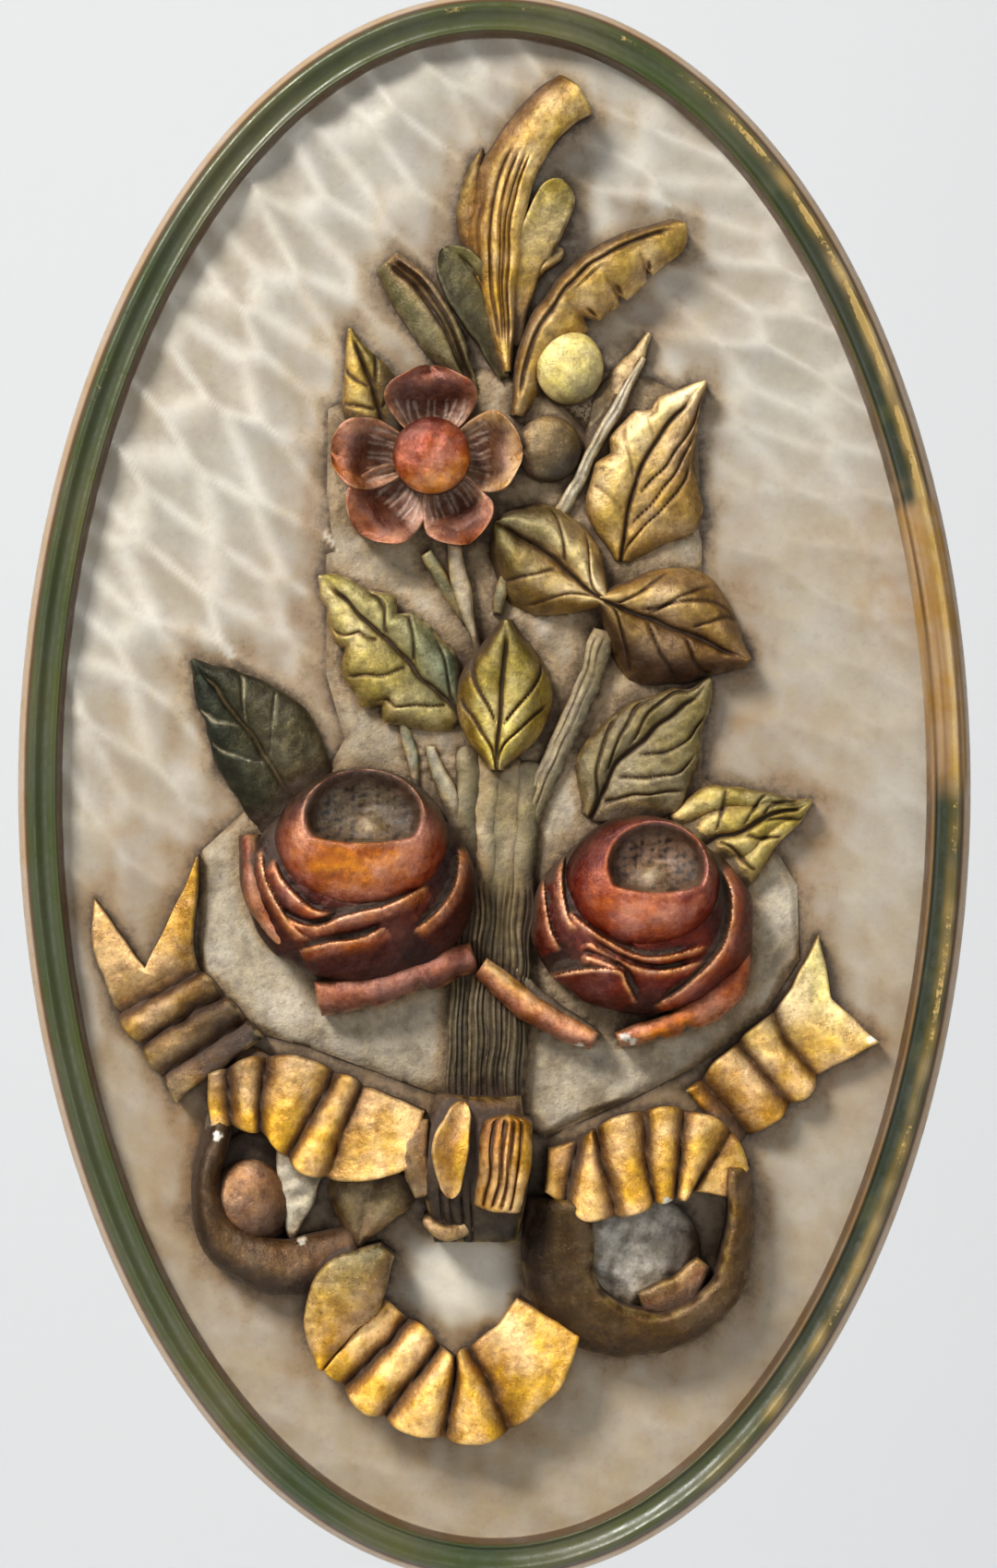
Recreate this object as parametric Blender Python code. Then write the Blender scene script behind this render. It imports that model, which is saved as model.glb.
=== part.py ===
"""A carved and gilded oval wall panel.

An oval board with a moulded rim carries an applied carving: a bouquet of leaves, a five-petalled flower
and two roses, with its stems tied by a ribbon bow. The panel hangs upright on a wall and faces -Y. The
origin is the middle of its flat back.

Every shape of the carving is a strip along a spine or a dome on an oval, and they all rise from one
flat back. Positions (x, z) are in millimetres from the panel's middle, seen from the front, and a rise
is in millimetres above the ground of the board.
"""

import math

import bmesh
import bpy
import numpy as np

MM = 0.001

# Board, in millimetres
HEIGHT = 450.0
WIDTH = 270.0
GROUND = 14.0
RIM_TOP = 22.0
RIM_WIDTH = 12.5
RIM_SEGMENTS = 64
BACK_CHAMFER = 1.2
# The rim's moulding from its outer edge inwards: shares of its width, and of its height above the ground
RIM_MOULDING = [
    (0.0, 0.19),
    (0.19, 0.7),
    (0.27, 0.925),
    (0.42, 1.0),
    (0.55, 0.9),
    (0.69, 0.725),
    (0.82, 0.775),
    (0.91, 0.825),
    (1.0, 0.0),
]

# Carving, in millimetres. It is drawn for a board of this width and height, and stretches with its board
DRAWN_FOR = (270.0, 450.0)
GLUE_GAP = 0.3
BURY = 2.0
FOOT_CROWN = 0.5
# Share of a ribbon tail's length from which its prongs are stretched
PRONG_START = 0.5
PLATE_RISE = 2.0
STEM_COUNT = 4
STEM_RISE = 6.5
PETAL_RIM = 12.5
PETAL_CUP = 8.0
# Width of a petal from the eye outwards, as shares of its half width
PETAL_SHAPE = (0.35, 0.8, 1.0, 0.97, 0.55)
FLOWER_CENTRE = (-17.6, 93.4)
# Direction in degrees, reach and half width of each petal
PETALS = [
    (91.0, 25.4, 12.4),
    (4.0, 25.6, 11.0),
    (-66.0, 26.6, 9.8),
    (-133.0, 29.6, 11.0),
    (178.0, 28.4, 9.8),
]
# A dome ends in a small flat crest, this share of its width
DOME_CREST = 0.12
# Shares of the way in from a globe's foot to the edge of its cup, then out from the cup's middle
GLOBE_WALL = (0.0, 0.3, 0.62, 1.0)
GLOBE_CUP = (0.75, 0.3)
# How far the floor of the cup leans with its edge
CUP_LEAN = 0.35
# A rolled petal edge is this much wider on the side that falls away
LIP_FALLOFF = 1.6

for old in list(bpy.data.objects):
    bpy.data.objects.remove(old, do_unlink=True)

panel = bpy.data.collections.new("Carved wall panel")
helpers = bpy.data.collections.new("Carving elements")
cutters = bpy.data.collections.new("Cutters")
for collection in (panel, helpers, cutters):
    bpy.context.scene.collection.children.link(collection)


def principled(name, colour, roughness, metallic):
    """A material with one Principled BSDF."""
    material = bpy.data.materials.new(name)
    material.use_nodes = True
    shader = material.node_tree.nodes["Principled BSDF"]
    shader.inputs["Base Color"].default_value = (*colour, 1.0)
    shader.inputs["Roughness"].default_value = roughness
    shader.inputs["Metallic"].default_value = metallic
    return material


def through(points, t):
    """The smooth curve through evenly spaced points, read at each t from 0 to 1."""
    points = np.asarray(points, float)
    if points.ndim == 1:
        points = points[:, None]
    last = len(points) - 1
    t = np.clip(np.asarray(t, float), 0.0, 1.0)
    k = np.minimum((t * last).astype(int), last - 1)
    f = (t * last - k)[:, None]
    ends = np.vstack([2 * points[0] - points[1], points, 2 * points[-1] - points[-2]])
    a, b, c, d = ends[k], ends[k + 1], ends[k + 2], ends[k + 3]
    bend = (c - a) * f + (2 * a - 5 * b + 4 * c - d) * f**2 + (3 * b - a - 3 * c + d) * f**3
    return (b + bend / 2).squeeze()


def loft(name, sections, collection, hide=True):
    """A closed body through closed sections of equal count, capped at both ends."""
    mesh = bmesh.new()
    rings = [[mesh.verts.new(point) for point in section] for section in sections]
    for first, second in zip(rings, rings[1:]):
        count = len(first)
        for i in range(count):
            j = (i + 1) % count
            mesh.faces.new((first[i], first[j], second[j], second[i]))
    mesh.faces.new(reversed(rings[0]))
    mesh.faces.new(rings[-1])
    bmesh.ops.remove_doubles(mesh, verts=mesh.verts, dist=1e-6)
    bmesh.ops.triangulate(mesh, faces=mesh.faces, ngon_method="EAR_CLIP")
    bmesh.ops.recalc_face_normals(mesh, faces=mesh.faces)
    data = bpy.data.meshes.new(name)
    mesh.to_mesh(data)
    mesh.free()
    body = bpy.data.objects.new(name, data)
    collection.objects.link(body)
    if hide:
        body.hide_render = True
        body.display_type = "WIRE"
    return body


def in_world(x, z, rise):
    """World points, in metres, of places on the panel's front."""
    depth = np.zeros_like(np.asarray(x, float)) + GROUND + rise
    return np.stack([np.asarray(x, float), -depth, np.asarray(z, float)], axis=-1) * MM


def on_carving(places, rise):
    """World points, in metres, of places drawn on the carving."""
    x, z = np.transpose(places)
    return in_world(x * WIDTH / DRAWN_FOR[0], z * HEIGHT / DRAWN_FOR[1], rise)


def strip(name, spine, left, right, rise, rows=7, across=4, crown=0.25, ribs=0, rib_depth=0.0,
          tilt=0.0, folds=(), notches=(), prongs=None, undercut=0.0):
    """A carved strip: half widths and rises at even stations along a spine.

    crown rounds it across, ribs cuts that many grooved panels along it, tilt lifts its left side and
    lowers its right, and each fold (place, depth, width) is a groove across. A notch (side, place,
    depth, width) bites an edge. prongs (left, middle, right) lengthens or cuts the far end. undercut
    is the share by which the walls draw in below.
    """
    u = np.linspace(0.0, 1.0, rows + 1)
    v = np.linspace(-1.0, 1.0, across + 1)
    middle = through(spine, u)
    ahead = np.gradient(middle, axis=0)
    ahead /= np.linalg.norm(ahead, axis=1)[:, None]
    aside = np.stack([-ahead[:, 1], ahead[:, 0]], axis=1)
    along = np.concatenate([[0.0], np.cumsum(np.linalg.norm(np.diff(middle, axis=0), axis=1))])
    stretch = np.interp(v, (-1, 0, 1), prongs or (0, 0, 0)) / along[-1] / (1.0 - PRONG_START)
    widths = {-1: through(left, u), 1: through(right, u)}
    for side, place, depth, width in notches:
        bite = np.clip(1.0 - np.abs(u - place) / width, 0.0, 1.0)
        widths[side] = widths[side] * (1.0 - depth * bite)
    heights = through(rise, u)
    for place, depth, width in folds:
        heights = heights - depth * np.exp(-(((u - place) / width) ** 2))
    sections = []
    for row in range(rows + 1):
        reach = np.where(v < 0, -v * widths[-1][row], -v * widths[1][row])
        place = middle[row] + aside[row] * reach[:, None]
        place = place + ahead[row] * (stretch * max(0.0, along[row] - PRONG_START * along[-1]))[:, None]
        top = heights[row] + crown * (1.0 - v**2) - tilt * v
        if ribs:
            local = rib_depth * (widths[-1][row] + widths[1][row]) / (widths[-1] + widths[1]).max()
            top = top - local * (1.0 - np.abs(np.sin(math.pi * ribs * (v + 1) / 2)))
        low = (place + (middle[row] - place) * undercut)[::-1]
        foot = on_carving(low, -BURY - FOOT_CROWN * (1.0 - v**2))
        crest = on_carving(place, top)
        sections.append([*crest, *foot])
    return loft(name, sections, helpers)


def oval(centre, radii, count):
    """Even points round an oval, first one at the right."""
    angle = np.linspace(0.0, 2 * math.pi, count, endpoint=False)
    x = centre[0] + radii[0] * np.cos(angle)
    z = centre[1] + radii[1] * np.sin(angle)
    return np.stack([x, z], axis=1)


def dome(name, centre, radii, top, edge, count=12, rings=3):
    """A rounded boss that rises from edge to top."""
    sections = [on_carving(oval(centre, radii, count), -BURY)]
    for reach in np.linspace(1.0, 0.0, rings + 1)[:-1]:
        rise = edge + (top - edge) * math.sqrt(1.0 - reach**2)
        sections.append(on_carving(oval(centre, np.multiply(radii, reach), count), rise))
    sections.append(on_carving(oval(centre, np.multiply(radii, DOME_CREST), count), top))
    return loft(name, sections, helpers)


def globe(name, centre, radii, cup_centre, cup_radii, edge, back, front, depth, count=16):
    """The closed heart of a rose: a globe with a hollow bud cup towards its top."""
    outer = oval(centre, radii, count)
    lip = oval(cup_centre, cup_radii, count)
    lean = (1.0 - np.sin(np.linspace(0.0, 2 * math.pi, count, endpoint=False))) / 2
    lip_rise = back + (front - back) * lean
    sections = [on_carving(outer, -BURY)]
    for share in GLOBE_WALL:
        place = outer + (lip - outer) * share
        rise = edge + (lip_rise - edge) * math.sin(share * math.pi / 2)
        sections.append(on_carving(place, rise))
    for share in GLOBE_CUP:
        place = np.asarray(cup_centre) + (lip - cup_centre) * share
        rise = back + (lip_rise - back) * CUP_LEAN - depth * (1.0 - share**2)
        sections.append(on_carving(place, rise))
    return loft(name, sections, helpers)


def board():
    """The oval board with its moulded rim, all of one piece of wood."""
    angle = np.linspace(0.0, 2 * math.pi, RIM_SEGMENTS, endpoint=False)
    half_width, half_height = WIDTH / 2, HEIGHT / 2
    out = np.stack([np.cos(angle) / half_width, np.sin(angle) / half_height], axis=1)
    out /= np.linalg.norm(out, axis=1)[:, None]
    edge = np.stack([half_width * np.cos(angle), half_height * np.sin(angle)], axis=1)
    profile = [(BACK_CHAMFER, -GROUND), (0.0, BACK_CHAMFER - GROUND)]
    profile += [(across * RIM_WIDTH, up * (RIM_TOP - GROUND)) for across, up in RIM_MOULDING]
    sections = []
    for inward, rise in profile:
        place = edge - out * inward
        sections.append(in_world(*place.T, rise))
    return loft("oval_panel", sections, panel, hide=False)


def plate():
    """The low bed that stays round the roses and between the leaves."""
    outline = [
        (-83.9, -18.6), (-83.9, -58.9), (-72.9, -68.0), (-53.4, -73.2), (-14.4, -87.5), (14.2, -99.2),
        (40.2, -87.5), (58.4, -78.4), (76.6, -64.1), (86.5, -48.5), (85.9, -27.7), (76.6, -12.1),
        (58.9, 3.5), (58.9, 65.9), (57.3, 109.6), (40.2, 117.9), (27.2, 99.7), (10.3, 117.9),
        (-9.2, 119.2), (-24.8, 116.6), (-47.2, 107.5), (-47.7, 65.9), (-47.7, 32.1), (-42.5, 13.9),
        (-49.5, 0.9), (-71.1, -6.9),
    ]
    return loft("plate", [on_carving(outline, -BURY), on_carving(outline, PLATE_RISE)], helpers)


def top_leaves():
    """The plume at the head of the bouquet."""
    strip(
        "tall_plume", [(3.5, 117.4), (1.4, 143.9), (3.2, 168.6), (12.3, 186.0), (23.0, 195.6)],
        (1.3, 8.3, 8.3, 6.8, 6.2), (1.3, 5.2, 7.0, 6.2, 6.2), (5, 8, 10, 11, 11), rows=7, across=8,
        ribs=4, rib_depth=1.6, undercut=0.15,
    )
    strip(
        "plume_ear", [(-5.9, 152.2), (-6.9, 166.0), (-3.0, 180.3)], (1.3, 1.8, 0.8), (1.6, 1.8, 0.8),
        (6, 7, 6), rows=4, across=2,
    )
    strip(
        "plume_lobe", [(5.9, 125.2), (7.9, 143.9), (12.9, 158.2), (18.6, 169.1)], (1.3, 3.1, 4.2, 2.3),
        (1.3, 3.6, 4.7, 3.1), (5, 7, 9, 8), rows=5, crown=-1.0,
    )
    strip(
        "olive_blade", [(2.7, 115.8), (-1.7, 131.4), (-7.4, 142.6), (-13.4, 150.9)],
        (1.3, 4.9, 6.0, 3.1), (1.3, 4.9, 5.7, 3.1), (5, 8, 9, 7), rows=5, ribs=2, rib_depth=-1.2,
    )
    strip(
        "left_blade", [(-6.6, 111.6), (-14.2, 125.7), (-22.5, 138.2), (-30.0, 147.0)],
        (2.1, 5.7, 6.0, 3.1), (2.1, 5.5, 5.7, 3.1), (4, 7, 8, 7), rows=5, ribs=2, rib_depth=1.4,
    )
    strip(
        "right_plume", [(6.4, 105.4), (10.5, 125.2), (21.7, 141.8), (35.5, 151.7), (50.8, 154.8)],
        (1.6, 2.6, 3.1, 3.1, 0.8), (2.1, 4.2, 10.9, 10.4, 3.1), (5, 9, 12, 12, 10), rows=10, across=4,
        ribs=2, rib_depth=-1.0,
        notches=[(1, 0.43, 0.75, 0.09), (1, 0.68, 0.3, 0.06), (1, 0.87, 0.3, 0.06)], undercut=0.2,
    )
    dome("plume_ball", (21.2, 116.1), (9.4, 9.6), 11.5, 7.0)
    dome("round_bud", (15.2, 95.8), (8.3, 8.6), 8.5, 5.0, count=12, rings=2)
    strip(
        "slim_leaf", [(17.8, 75.8), (28.2, 97.6), (41.5, 123.1)], (2.3, 3.4, 0.8), (2.3, 3.4, 0.8),
        (4, 5.5, 5), rows=5, ribs=2, rib_depth=0.9,
    )
    strip(
        "leaf_behind_flower", [(-30.6, 98.6), (-34.2, 112.2), (-41.0, 128.5)], (7.8, 8.8, 0.8),
        (5.7, 6.8, 0.8), (5, 6.5, 6), rows=6, ribs=2, rib_depth=1.0,
    )


def flower():
    """The five-petalled flower: a domed eye and cupped petals with raised rims."""
    x, z = FLOWER_CENTRE
    for number, (degrees, reach, half_width) in enumerate(PETALS):
        c, s = math.cos(math.radians(degrees)), math.sin(math.radians(degrees))
        spine = [(x + c * reach * share, z + s * reach * share) for share in (0.2, 0.6, 1.0)]
        widths = [half_width * share for share in PETAL_SHAPE]
        rises = (PETAL_CUP + 1, PETAL_CUP, PETAL_RIM)
        strip(f"petal_{number}", spine, widths, widths, rises, rows=4, crown=-3.0, undercut=0.25)
    dome("flower_eye", FLOWER_CENTRE, (10.9, 10.7), 17.0, 12.0, count=14)


def side_leaves():
    """The leaves from the middle of the bouquet down to the roses."""
    strip(
        "big_right_leaf", [(35.5, 64.3), (37.6, 77.6), (41.5, 90.6), (48.5, 101.8), (58.9, 112.9)],
        (2.1, 11.4, 11.4, 9.4, 0.8), (3.6, 19.8, 17.2, 9.4, 0.8), (4, 7, 8, 8, 7), rows=10, across=4,
        ribs=2, rib_depth=1.3, notches=[(-1, 0.5, 0.3, 0.07), (-1, 0.78, 0.35, 0.06)],
    )
    strip(
        "left_of_pair", [(31.3, 52.1), (20.7, 60.7), (10.3, 69.0), (0.1, 74.7)],
        (2.1, 15.1, 16.1, 6.8), (2.1, 12.0, 12.5, 4.7), (11, 11, 11, 8), rows=6, across=8, crown=1.0,
        ribs=2, rib_depth=4.0, undercut=0.2,
    )
    strip(
        "right_of_pair", [(29.2, 52.9), (42.8, 47.7), (56.3, 42.5), (71.1, 36.0)],
        (2.1, 15.6, 16.6, 0.8), (2.1, 17.2, 14.6, 1.6), (11, 11, 10, 7), rows=6, across=8, crown=1.0,
        ribs=2, rib_depth=4.0, undercut=0.2,
    )
    strip(
        "left_leaf", [(-8.7, 19.6), (-19.1, 30.0), (-28.7, 39.9), (-38.9, 49.8), (-49.0, 59.1)],
        (5.2, 16.6, 17.2, 9.9, 0.8), (2.1, 10.9, 11.4, 8.3, 0.8), (5, 8, 9, 8, 7), rows=12, ribs=2,
        rib_depth=1.4, notches=[(-1, 0.33, 0.2, 0.08), (-1, 0.67, 0.42, 0.08), (-1, 0.87, 0.3, 0.07)],
        undercut=0.15,
    )
    strip(
        "centre_leaf", [(0.7, 6.1), (1.4, 17.8), (2.5, 32.1), (3.5, 46.1)], (2.1, 11.4, 11.4, 1.6),
        (2.1, 12.5, 13.0, 2.1), (9, 11, 11, 9), rows=5, across=8, crown=2.5, ribs=4, rib_depth=1.6,
        undercut=0.2,
    )
    strip(
        "dark_leaf", [(-54.7, -6.9), (-64.6, 8.2), (-74.2, 21.7), (-84.9, 34.9)],
        (13.0, 13.0, 9.9, 0.8), (10.4, 17.2, 13.0, 0.8), (5, 7, 7.5, 6), rows=7, ribs=2, rib_depth=1.2,
        notches=[(-1, 0.72, 0.2, 0.06)],
    )
    strip(
        "upper_right_leaf", [(27.2, -8.0), (34.5, 5.6), (46.1, 17.5), (60.2, 29.0)],
        (3.1, 10.9, 8.3, 0.8), (13.0, 21.3, 16.1, 0.8), (5, 7, 8, 7), rows=6, ribs=2, rib_depth=1.2,
    )
    strip(
        "lower_right_leaf", [(53.7, -17.8), (66.2, -12.6), (77.1, -8.5), (88.5, -4.6)],
        (12.0, 13.5, 7.8, 0.8), (10.4, 15.6, 7.8, 0.8), (5, 8, 8, 6), rows=5, across=8, ribs=4,
        rib_depth=1.5,
    )


def stems():
    """The tied stems, spreading upwards, and the thinner stalks."""
    for number in range(STEM_COUNT):
        share = number / (STEM_COUNT - 1)
        foot = np.add((-10.0, -93.2), np.multiply(share, (14.6, 0.0)))
        head = np.add((-7.2, 3.0), np.multiply(share, (20.3, -2.6)))
        spine = [foot, foot * 0.6 + head * 0.4 + (-0.5, 0), head]
        strip(
            f"stem_{number}", spine, (2.6, 3.0, 3.4), (2.6, 3.0, 3.4), (STEM_RISE, STEM_RISE, 5.0),
            rows=3, across=2, crown=1.6,
        )
    strip(
        "branch", [(7.9, -12.1), (16.8, 8.2), (25.1, 26.4), (31.1, 44.6)], (3.9, 3.6, 3.4, 3.4),
        (3.9, 3.6, 3.6, 3.4), (5, 6, 7, 7), rows=4, across=2, crown=1.5,
    )
    strip(
        "left_rib", [(-7.9, -28.2), (-11.3, -9.0), (-18.1, 11.8)], (2.6, 2.3, 2.1), (2.6, 2.3, 2.1),
        (4, 5.5, 5), rows=3, across=2, crown=1.2,
    )
    strip(
        "flower_stalk", [(-2.0, 21.7), (-5.3, 39.9), (-9.2, 55.5), (-11.8, 71.1)],
        (1.6, 1.8, 2.1, 2.3), (1.6, 1.8, 2.1, 2.3), (5, 6, 7, 8), rows=5, across=2, crown=1.0,
    )


def lip(name, spine, widths, crest, fall):
    """One rolled petal edge of a rose: it stands up at its inner side and falls away outwards."""
    outer = [width * LIP_FALLOFF for width in widths]
    strip(name, spine, widths, outer, crest, rows=5, across=2, tilt=fall / 2, undercut=0.1)


def left_rose():
    """The rose on the left, its cup to the top."""
    dome("left_rose_body", (-37.3, -28.2), (33.0, 26.5), 20.0, 11.0, count=16)
    globe(
        "left_rose_globe", (-37.1, -15.2), (22.9, 19.8), (-35.8, -6.9), (15.6, 9.9), 17.0, 23.0, 33.0,
        8.0,
    )
    lip(
        "left_rose_lip_1", [(-58.4, -22.5), (-50.8, -32.4), (-39.1, -35.5)], (1.3, 1.8, 1.0),
        (20, 24, 26), 3.0,
    )
    lip(
        "left_rose_lip_2", [(-64.9, -18.6), (-61.2, -29.8), (-54.5, -39.2)], (1.6, 2.1, 1.3),
        (20, 22, 22), 4.0,
    )
    lip(
        "left_rose_lip_3", [(-54.5, -39.7), (-36.3, -34.5), (-18.1, -26.7)], (1.3, 2.1, 1.6),
        (22, 27, 25), 5.0,
    )
    lip(
        "left_rose_lip_4", [(-22.2, -40.7), (-13.9, -32.4), (-9.5, -18.9)], (2.1, 2.6, 1.8),
        (24, 26, 24), 7.0,
    )
    lip(
        "left_rose_lip_5", [(-54.0, -44.4), (-43.0, -42.5), (-30.8, -38.1)], (1.0, 2.1, 1.3),
        (22, 25, 25), 9.0,
    )
    strip(
        "left_rose_outer", [(-69.5, -14.2), (-68.5, -28.2), (-61.8, -40.7), (-51.4, -51.6)],
        (3.6, 4.2, 3.6, 2.6), (1.3, 2.1, 2.6, 2.6), (14, 17, 17, 14), rows=5, across=2, tilt=1.5,
    )
    strip(
        "left_rose_skirt", [(-49.8, -59.4), (-35.2, -56.8), (-19.6, -51.6), (-5.6, -47.5)],
        (5.2, 4.9, 5.2, 4.7), (5.2, 4.9, 5.2, 5.7), (12, 14, 14, 12), rows=4, across=2, tilt=-1.0,
        undercut=0.2,
    )


def right_rose():
    """The rose on the right, turned a little further to the light."""
    dome("right_rose_body", (41.7, -38.1), (31.7, 25.5), 20.0, 11.0, count=16)
    globe(
        "right_rose_globe", (41.2, -26.9), (21.3, 19.2), (45.6, -21.5), (14.0, 10.7), 17.0, 23.0, 33.0,
        8.0,
    )
    lip(
        "right_rose_lip_1", [(19.6, -32.9), (35.0, -44.4), (59.4, -44.4)], (1.3, 2.1, 1.3),
        (22, 27, 24), 3.0,
    )
    lip(
        "right_rose_lip_2", [(24.6, -41.8), (34.5, -48.5), (45.9, -50.1)], (1.0, 1.8, 1.0),
        (21, 25, 25), 4.0,
    )
    lip(
        "right_rose_lip_3", [(44.9, -62.6), (61.0, -50.1), (66.2, -24.6)], (1.3, 2.9, 1.3),
        (20, 25, 23), 7.0,
    )
    lip(
        "right_rose_lip_4", [(19.9, -53.7), (28.5, -51.6), (35.5, -50.6)], (1.0, 1.6, 1.3),
        (21, 24, 25), 9.0,
    )
    strip(
        "right_rose_side", [(18.9, -13.4), (16.0, -31.6), (17.8, -47.5)], (2.3, 2.6, 1.6),
        (2.1, 2.6, 1.6), (20, 24, 21), rows=4, across=2, tilt=-1.5,
    )
    strip(
        "right_rose_left_skirt", [(-2.0, -50.6), (10.3, -62.0), (28.2, -71.9)], (3.6, 4.4, 3.1),
        (4.7, 5.2, 3.6), (13, 15, 13), rows=4, across=2, tilt=-1.0, undercut=0.2,
    )
    strip(
        "right_rose_right_skirt", [(34.5, -70.4), (51.9, -65.2), (65.7, -56.3), (70.3, -47.5)],
        (2.1, 4.2, 4.7, 2.1), (2.6, 4.2, 4.7, 2.1), (13, 15, 15, 12), rows=5, across=2, tilt=-1.0,
        undercut=0.2,
    )


def ribbon_tails():
    """The two swallow-tailed ends of the ribbon, with creases across."""
    strip(
        "left_tail", [(-77.4, -79.2), (-88.0, -64.6), (-94.8, -53.7), (-98.4, -40.7), (-98.7, -24.1)],
        (15.6, 15.1, 16.1, 15.1, 14.6), (15.6, 13.5, 12.5, 14.6, 15.1), (8, 9, 8, 7.5, 6.5), rows=14,
        across=4, folds=[(0.08, 4.0, 0.05), (0.27, 3.5, 0.04), (0.4, 2.0, 0.04)],
        prongs=(-7.3, -27.0, 5.2),
    )
    strip(
        "right_tail", [(60.5, -92.2), (74.0, -79.7), (84.6, -69.8), (95.5, -59.7)],
        (9.4, 9.9, 9.9, 16.1), (12.0, 15.1, 14.6, 17.7), (7, 9, 8, 6.5), rows=12, across=4,
        folds=[(0.1, 1.5, 0.05), (0.34, 4.0, 0.06), (0.56, 2.5, 0.05)], prongs=(9.4, 0.0, 1.3),
    )
    strip(
        "left_tail_bridge", [(-73.7, -77.1), (-56.0, -84.9)], (5.7, 5.7), (5.7, 5.7), (5, 8), rows=2,
        across=2,
    )


def ribbon_bands():
    """The two pleated bands that run from the knot to the loops."""
    strip(
        "left_band", [(-80.0, -87.5), (-61.2, -86.0), (-41.5, -93.8), (-21.2, -98.4)],
        (7.3, 12.0, 13.0, 8.3), (7.3, 12.5, 17.2, 7.8), (13, 19, 21, 19), rows=15, across=2,
        folds=[(0.28, 4.0, 0.035), (0.52, 3.0, 0.035), (0.67, 5.0, 0.035)], tilt=-1.0, undercut=0.1,
    )
    strip(
        "right_band", [(14.7, -106.2), (28.2, -107.3), (43.3, -103.1), (57.9, -103.6), (68.8, -110.9)],
        (5.2, 12.0, 14.0, 12.5, 5.2), (6.8, 14.0, 13.0, 11.4, 4.7), (15, 20, 22, 20, 14), rows=15,
        across=2, folds=[(0.36, 5.0, 0.035), (0.57, 3.0, 0.035), (0.76, 3.0, 0.035)], tilt=-1.0,
        undercut=0.1,
    )


def ribbon_loops():
    """The hollow loops under the bands, with the curled ends that show inside."""
    strip(
        "left_loop",
        [(-80.5, -94.3), (-83.1, -113.5), (-76.8, -129.6), (-62.3, -135.9), (-48.2, -133.8)],
        (2.1, 3.1, 5.2, 6.8, 7.8), (3.6, 3.6, 5.2, 6.8, 6.8), (14, 15, 14, 13, 12), rows=10, tilt=4.0,
    )
    dome("left_curl", (-69.5, -118.2), (9.9, 10.9), 12.0, 7.0, count=12)
    strip(
        "left_lump", [(-33.9, -105.2), (-35.8, -118.7), (-37.8, -129.1)], (12.5, 10.4, 1.3),
        (13.5, 8.8, 1.3), (14, 13, 10), rows=5,
    )
    strip(
        "right_loop",
        [(68.8, -106.2), (68.8, -126.5), (63.1, -143.2), (47.5, -152.5), (29.8, -150.4), (18.3, -138.0),
         (17.8, -115.1)],
        (3.6, 4.2, 5.2, 6.2, 8.8, 9.9, 8.8), (3.6, 4.2, 5.2, 5.7, 8.3, 10.4, 9.9),
        (14, 15, 15, 15, 15, 14, 15), rows=14, tilt=-4.0,
    )
    dome("right_lump", (41.5, -130.7), (13.0, 12.5), 10.0, 5.0, count=12, rings=2)
    strip(
        "right_curl", [(58.9, -133.3), (51.9, -142.1), (41.2, -145.2)], (2.1, 4.2, 2.1),
        (2.1, 5.2, 3.6), (11, 13, 11), rows=5,
    )


def ribbon_fan():
    """The lowest loop of the bow, spread like a fan."""
    strip(
        "fan",
        [(-39.6, -152.8), (-28.2, -162.4), (-15.0, -170.2), (-3.5, -169.2), (7.9, -160.8),
         (15.2, -148.4)],
        (13.0, 14.6, 12.0, 13.5, 13.0, 10.4), (13.0, 15.1, 12.5, 14.0, 13.0, 10.4),
        (13, 16, 17, 17, 16, 13), rows=20, across=2,
        folds=[(0.04, 7.0, 0.04), (0.26, 6.0, 0.035), (0.53, 6.0, 0.035), (0.73, 5.0, 0.035)],
        tilt=-1.0, undercut=0.1,
    )
    strip(
        "fan_leaf", [(-49.3, -162.7), (-45.6, -149.9), (-39.4, -139.5), (-30.0, -129.4)],
        (0.8, 8.3, 9.9, 2.6), (1.3, 6.8, 9.4, 2.6), (13, 15, 16, 14), rows=7, crown=1.5,
    )


def knot():
    """The knot: a body with a hollow fold and two ribs over it."""
    strip(
        "knot_body", [(-5.1, -86.5), (-5.6, -106.2), (-5.6, -127.0)], (12.5, 15.6, 12.0),
        (11.4, 15.1, 11.4), (14, 19, 15), rows=5, crown=2.5,
    )
    strip(
        "knot_fold", [(-8.2, -87.5), (-12.1, -100.5), (-12.6, -113.5)], (1.3, 4.7, 1.3),
        (1.6, 5.2, 1.3), (22, 26, 23), rows=6, crown=-2.5,
    )
    strip(
        "knot_rib_left", [(-0.7, -91.7), (-2.2, -104.4), (-4.3, -116.6)], (3.1, 3.1, 2.9),
        (3.4, 3.4, 3.1), (23, 26, 24), rows=5, crown=1.5,
    )
    strip(
        "knot_rib_right", [(6.9, -93.8), (6.4, -106.2), (3.2, -117.7)], (3.4, 3.6, 3.1),
        (3.1, 3.4, 2.9), (22, 25, 23), rows=5, crown=1.5,
    )
    strip(
        "knot_lip", [(-20.2, -120.3), (-13.4, -124.4), (-5.1, -122.4)], (1.8, 1.8, 1.6),
        (1.6, 1.6, 1.3), (17, 19, 17), rows=4, across=2,
    )


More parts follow.
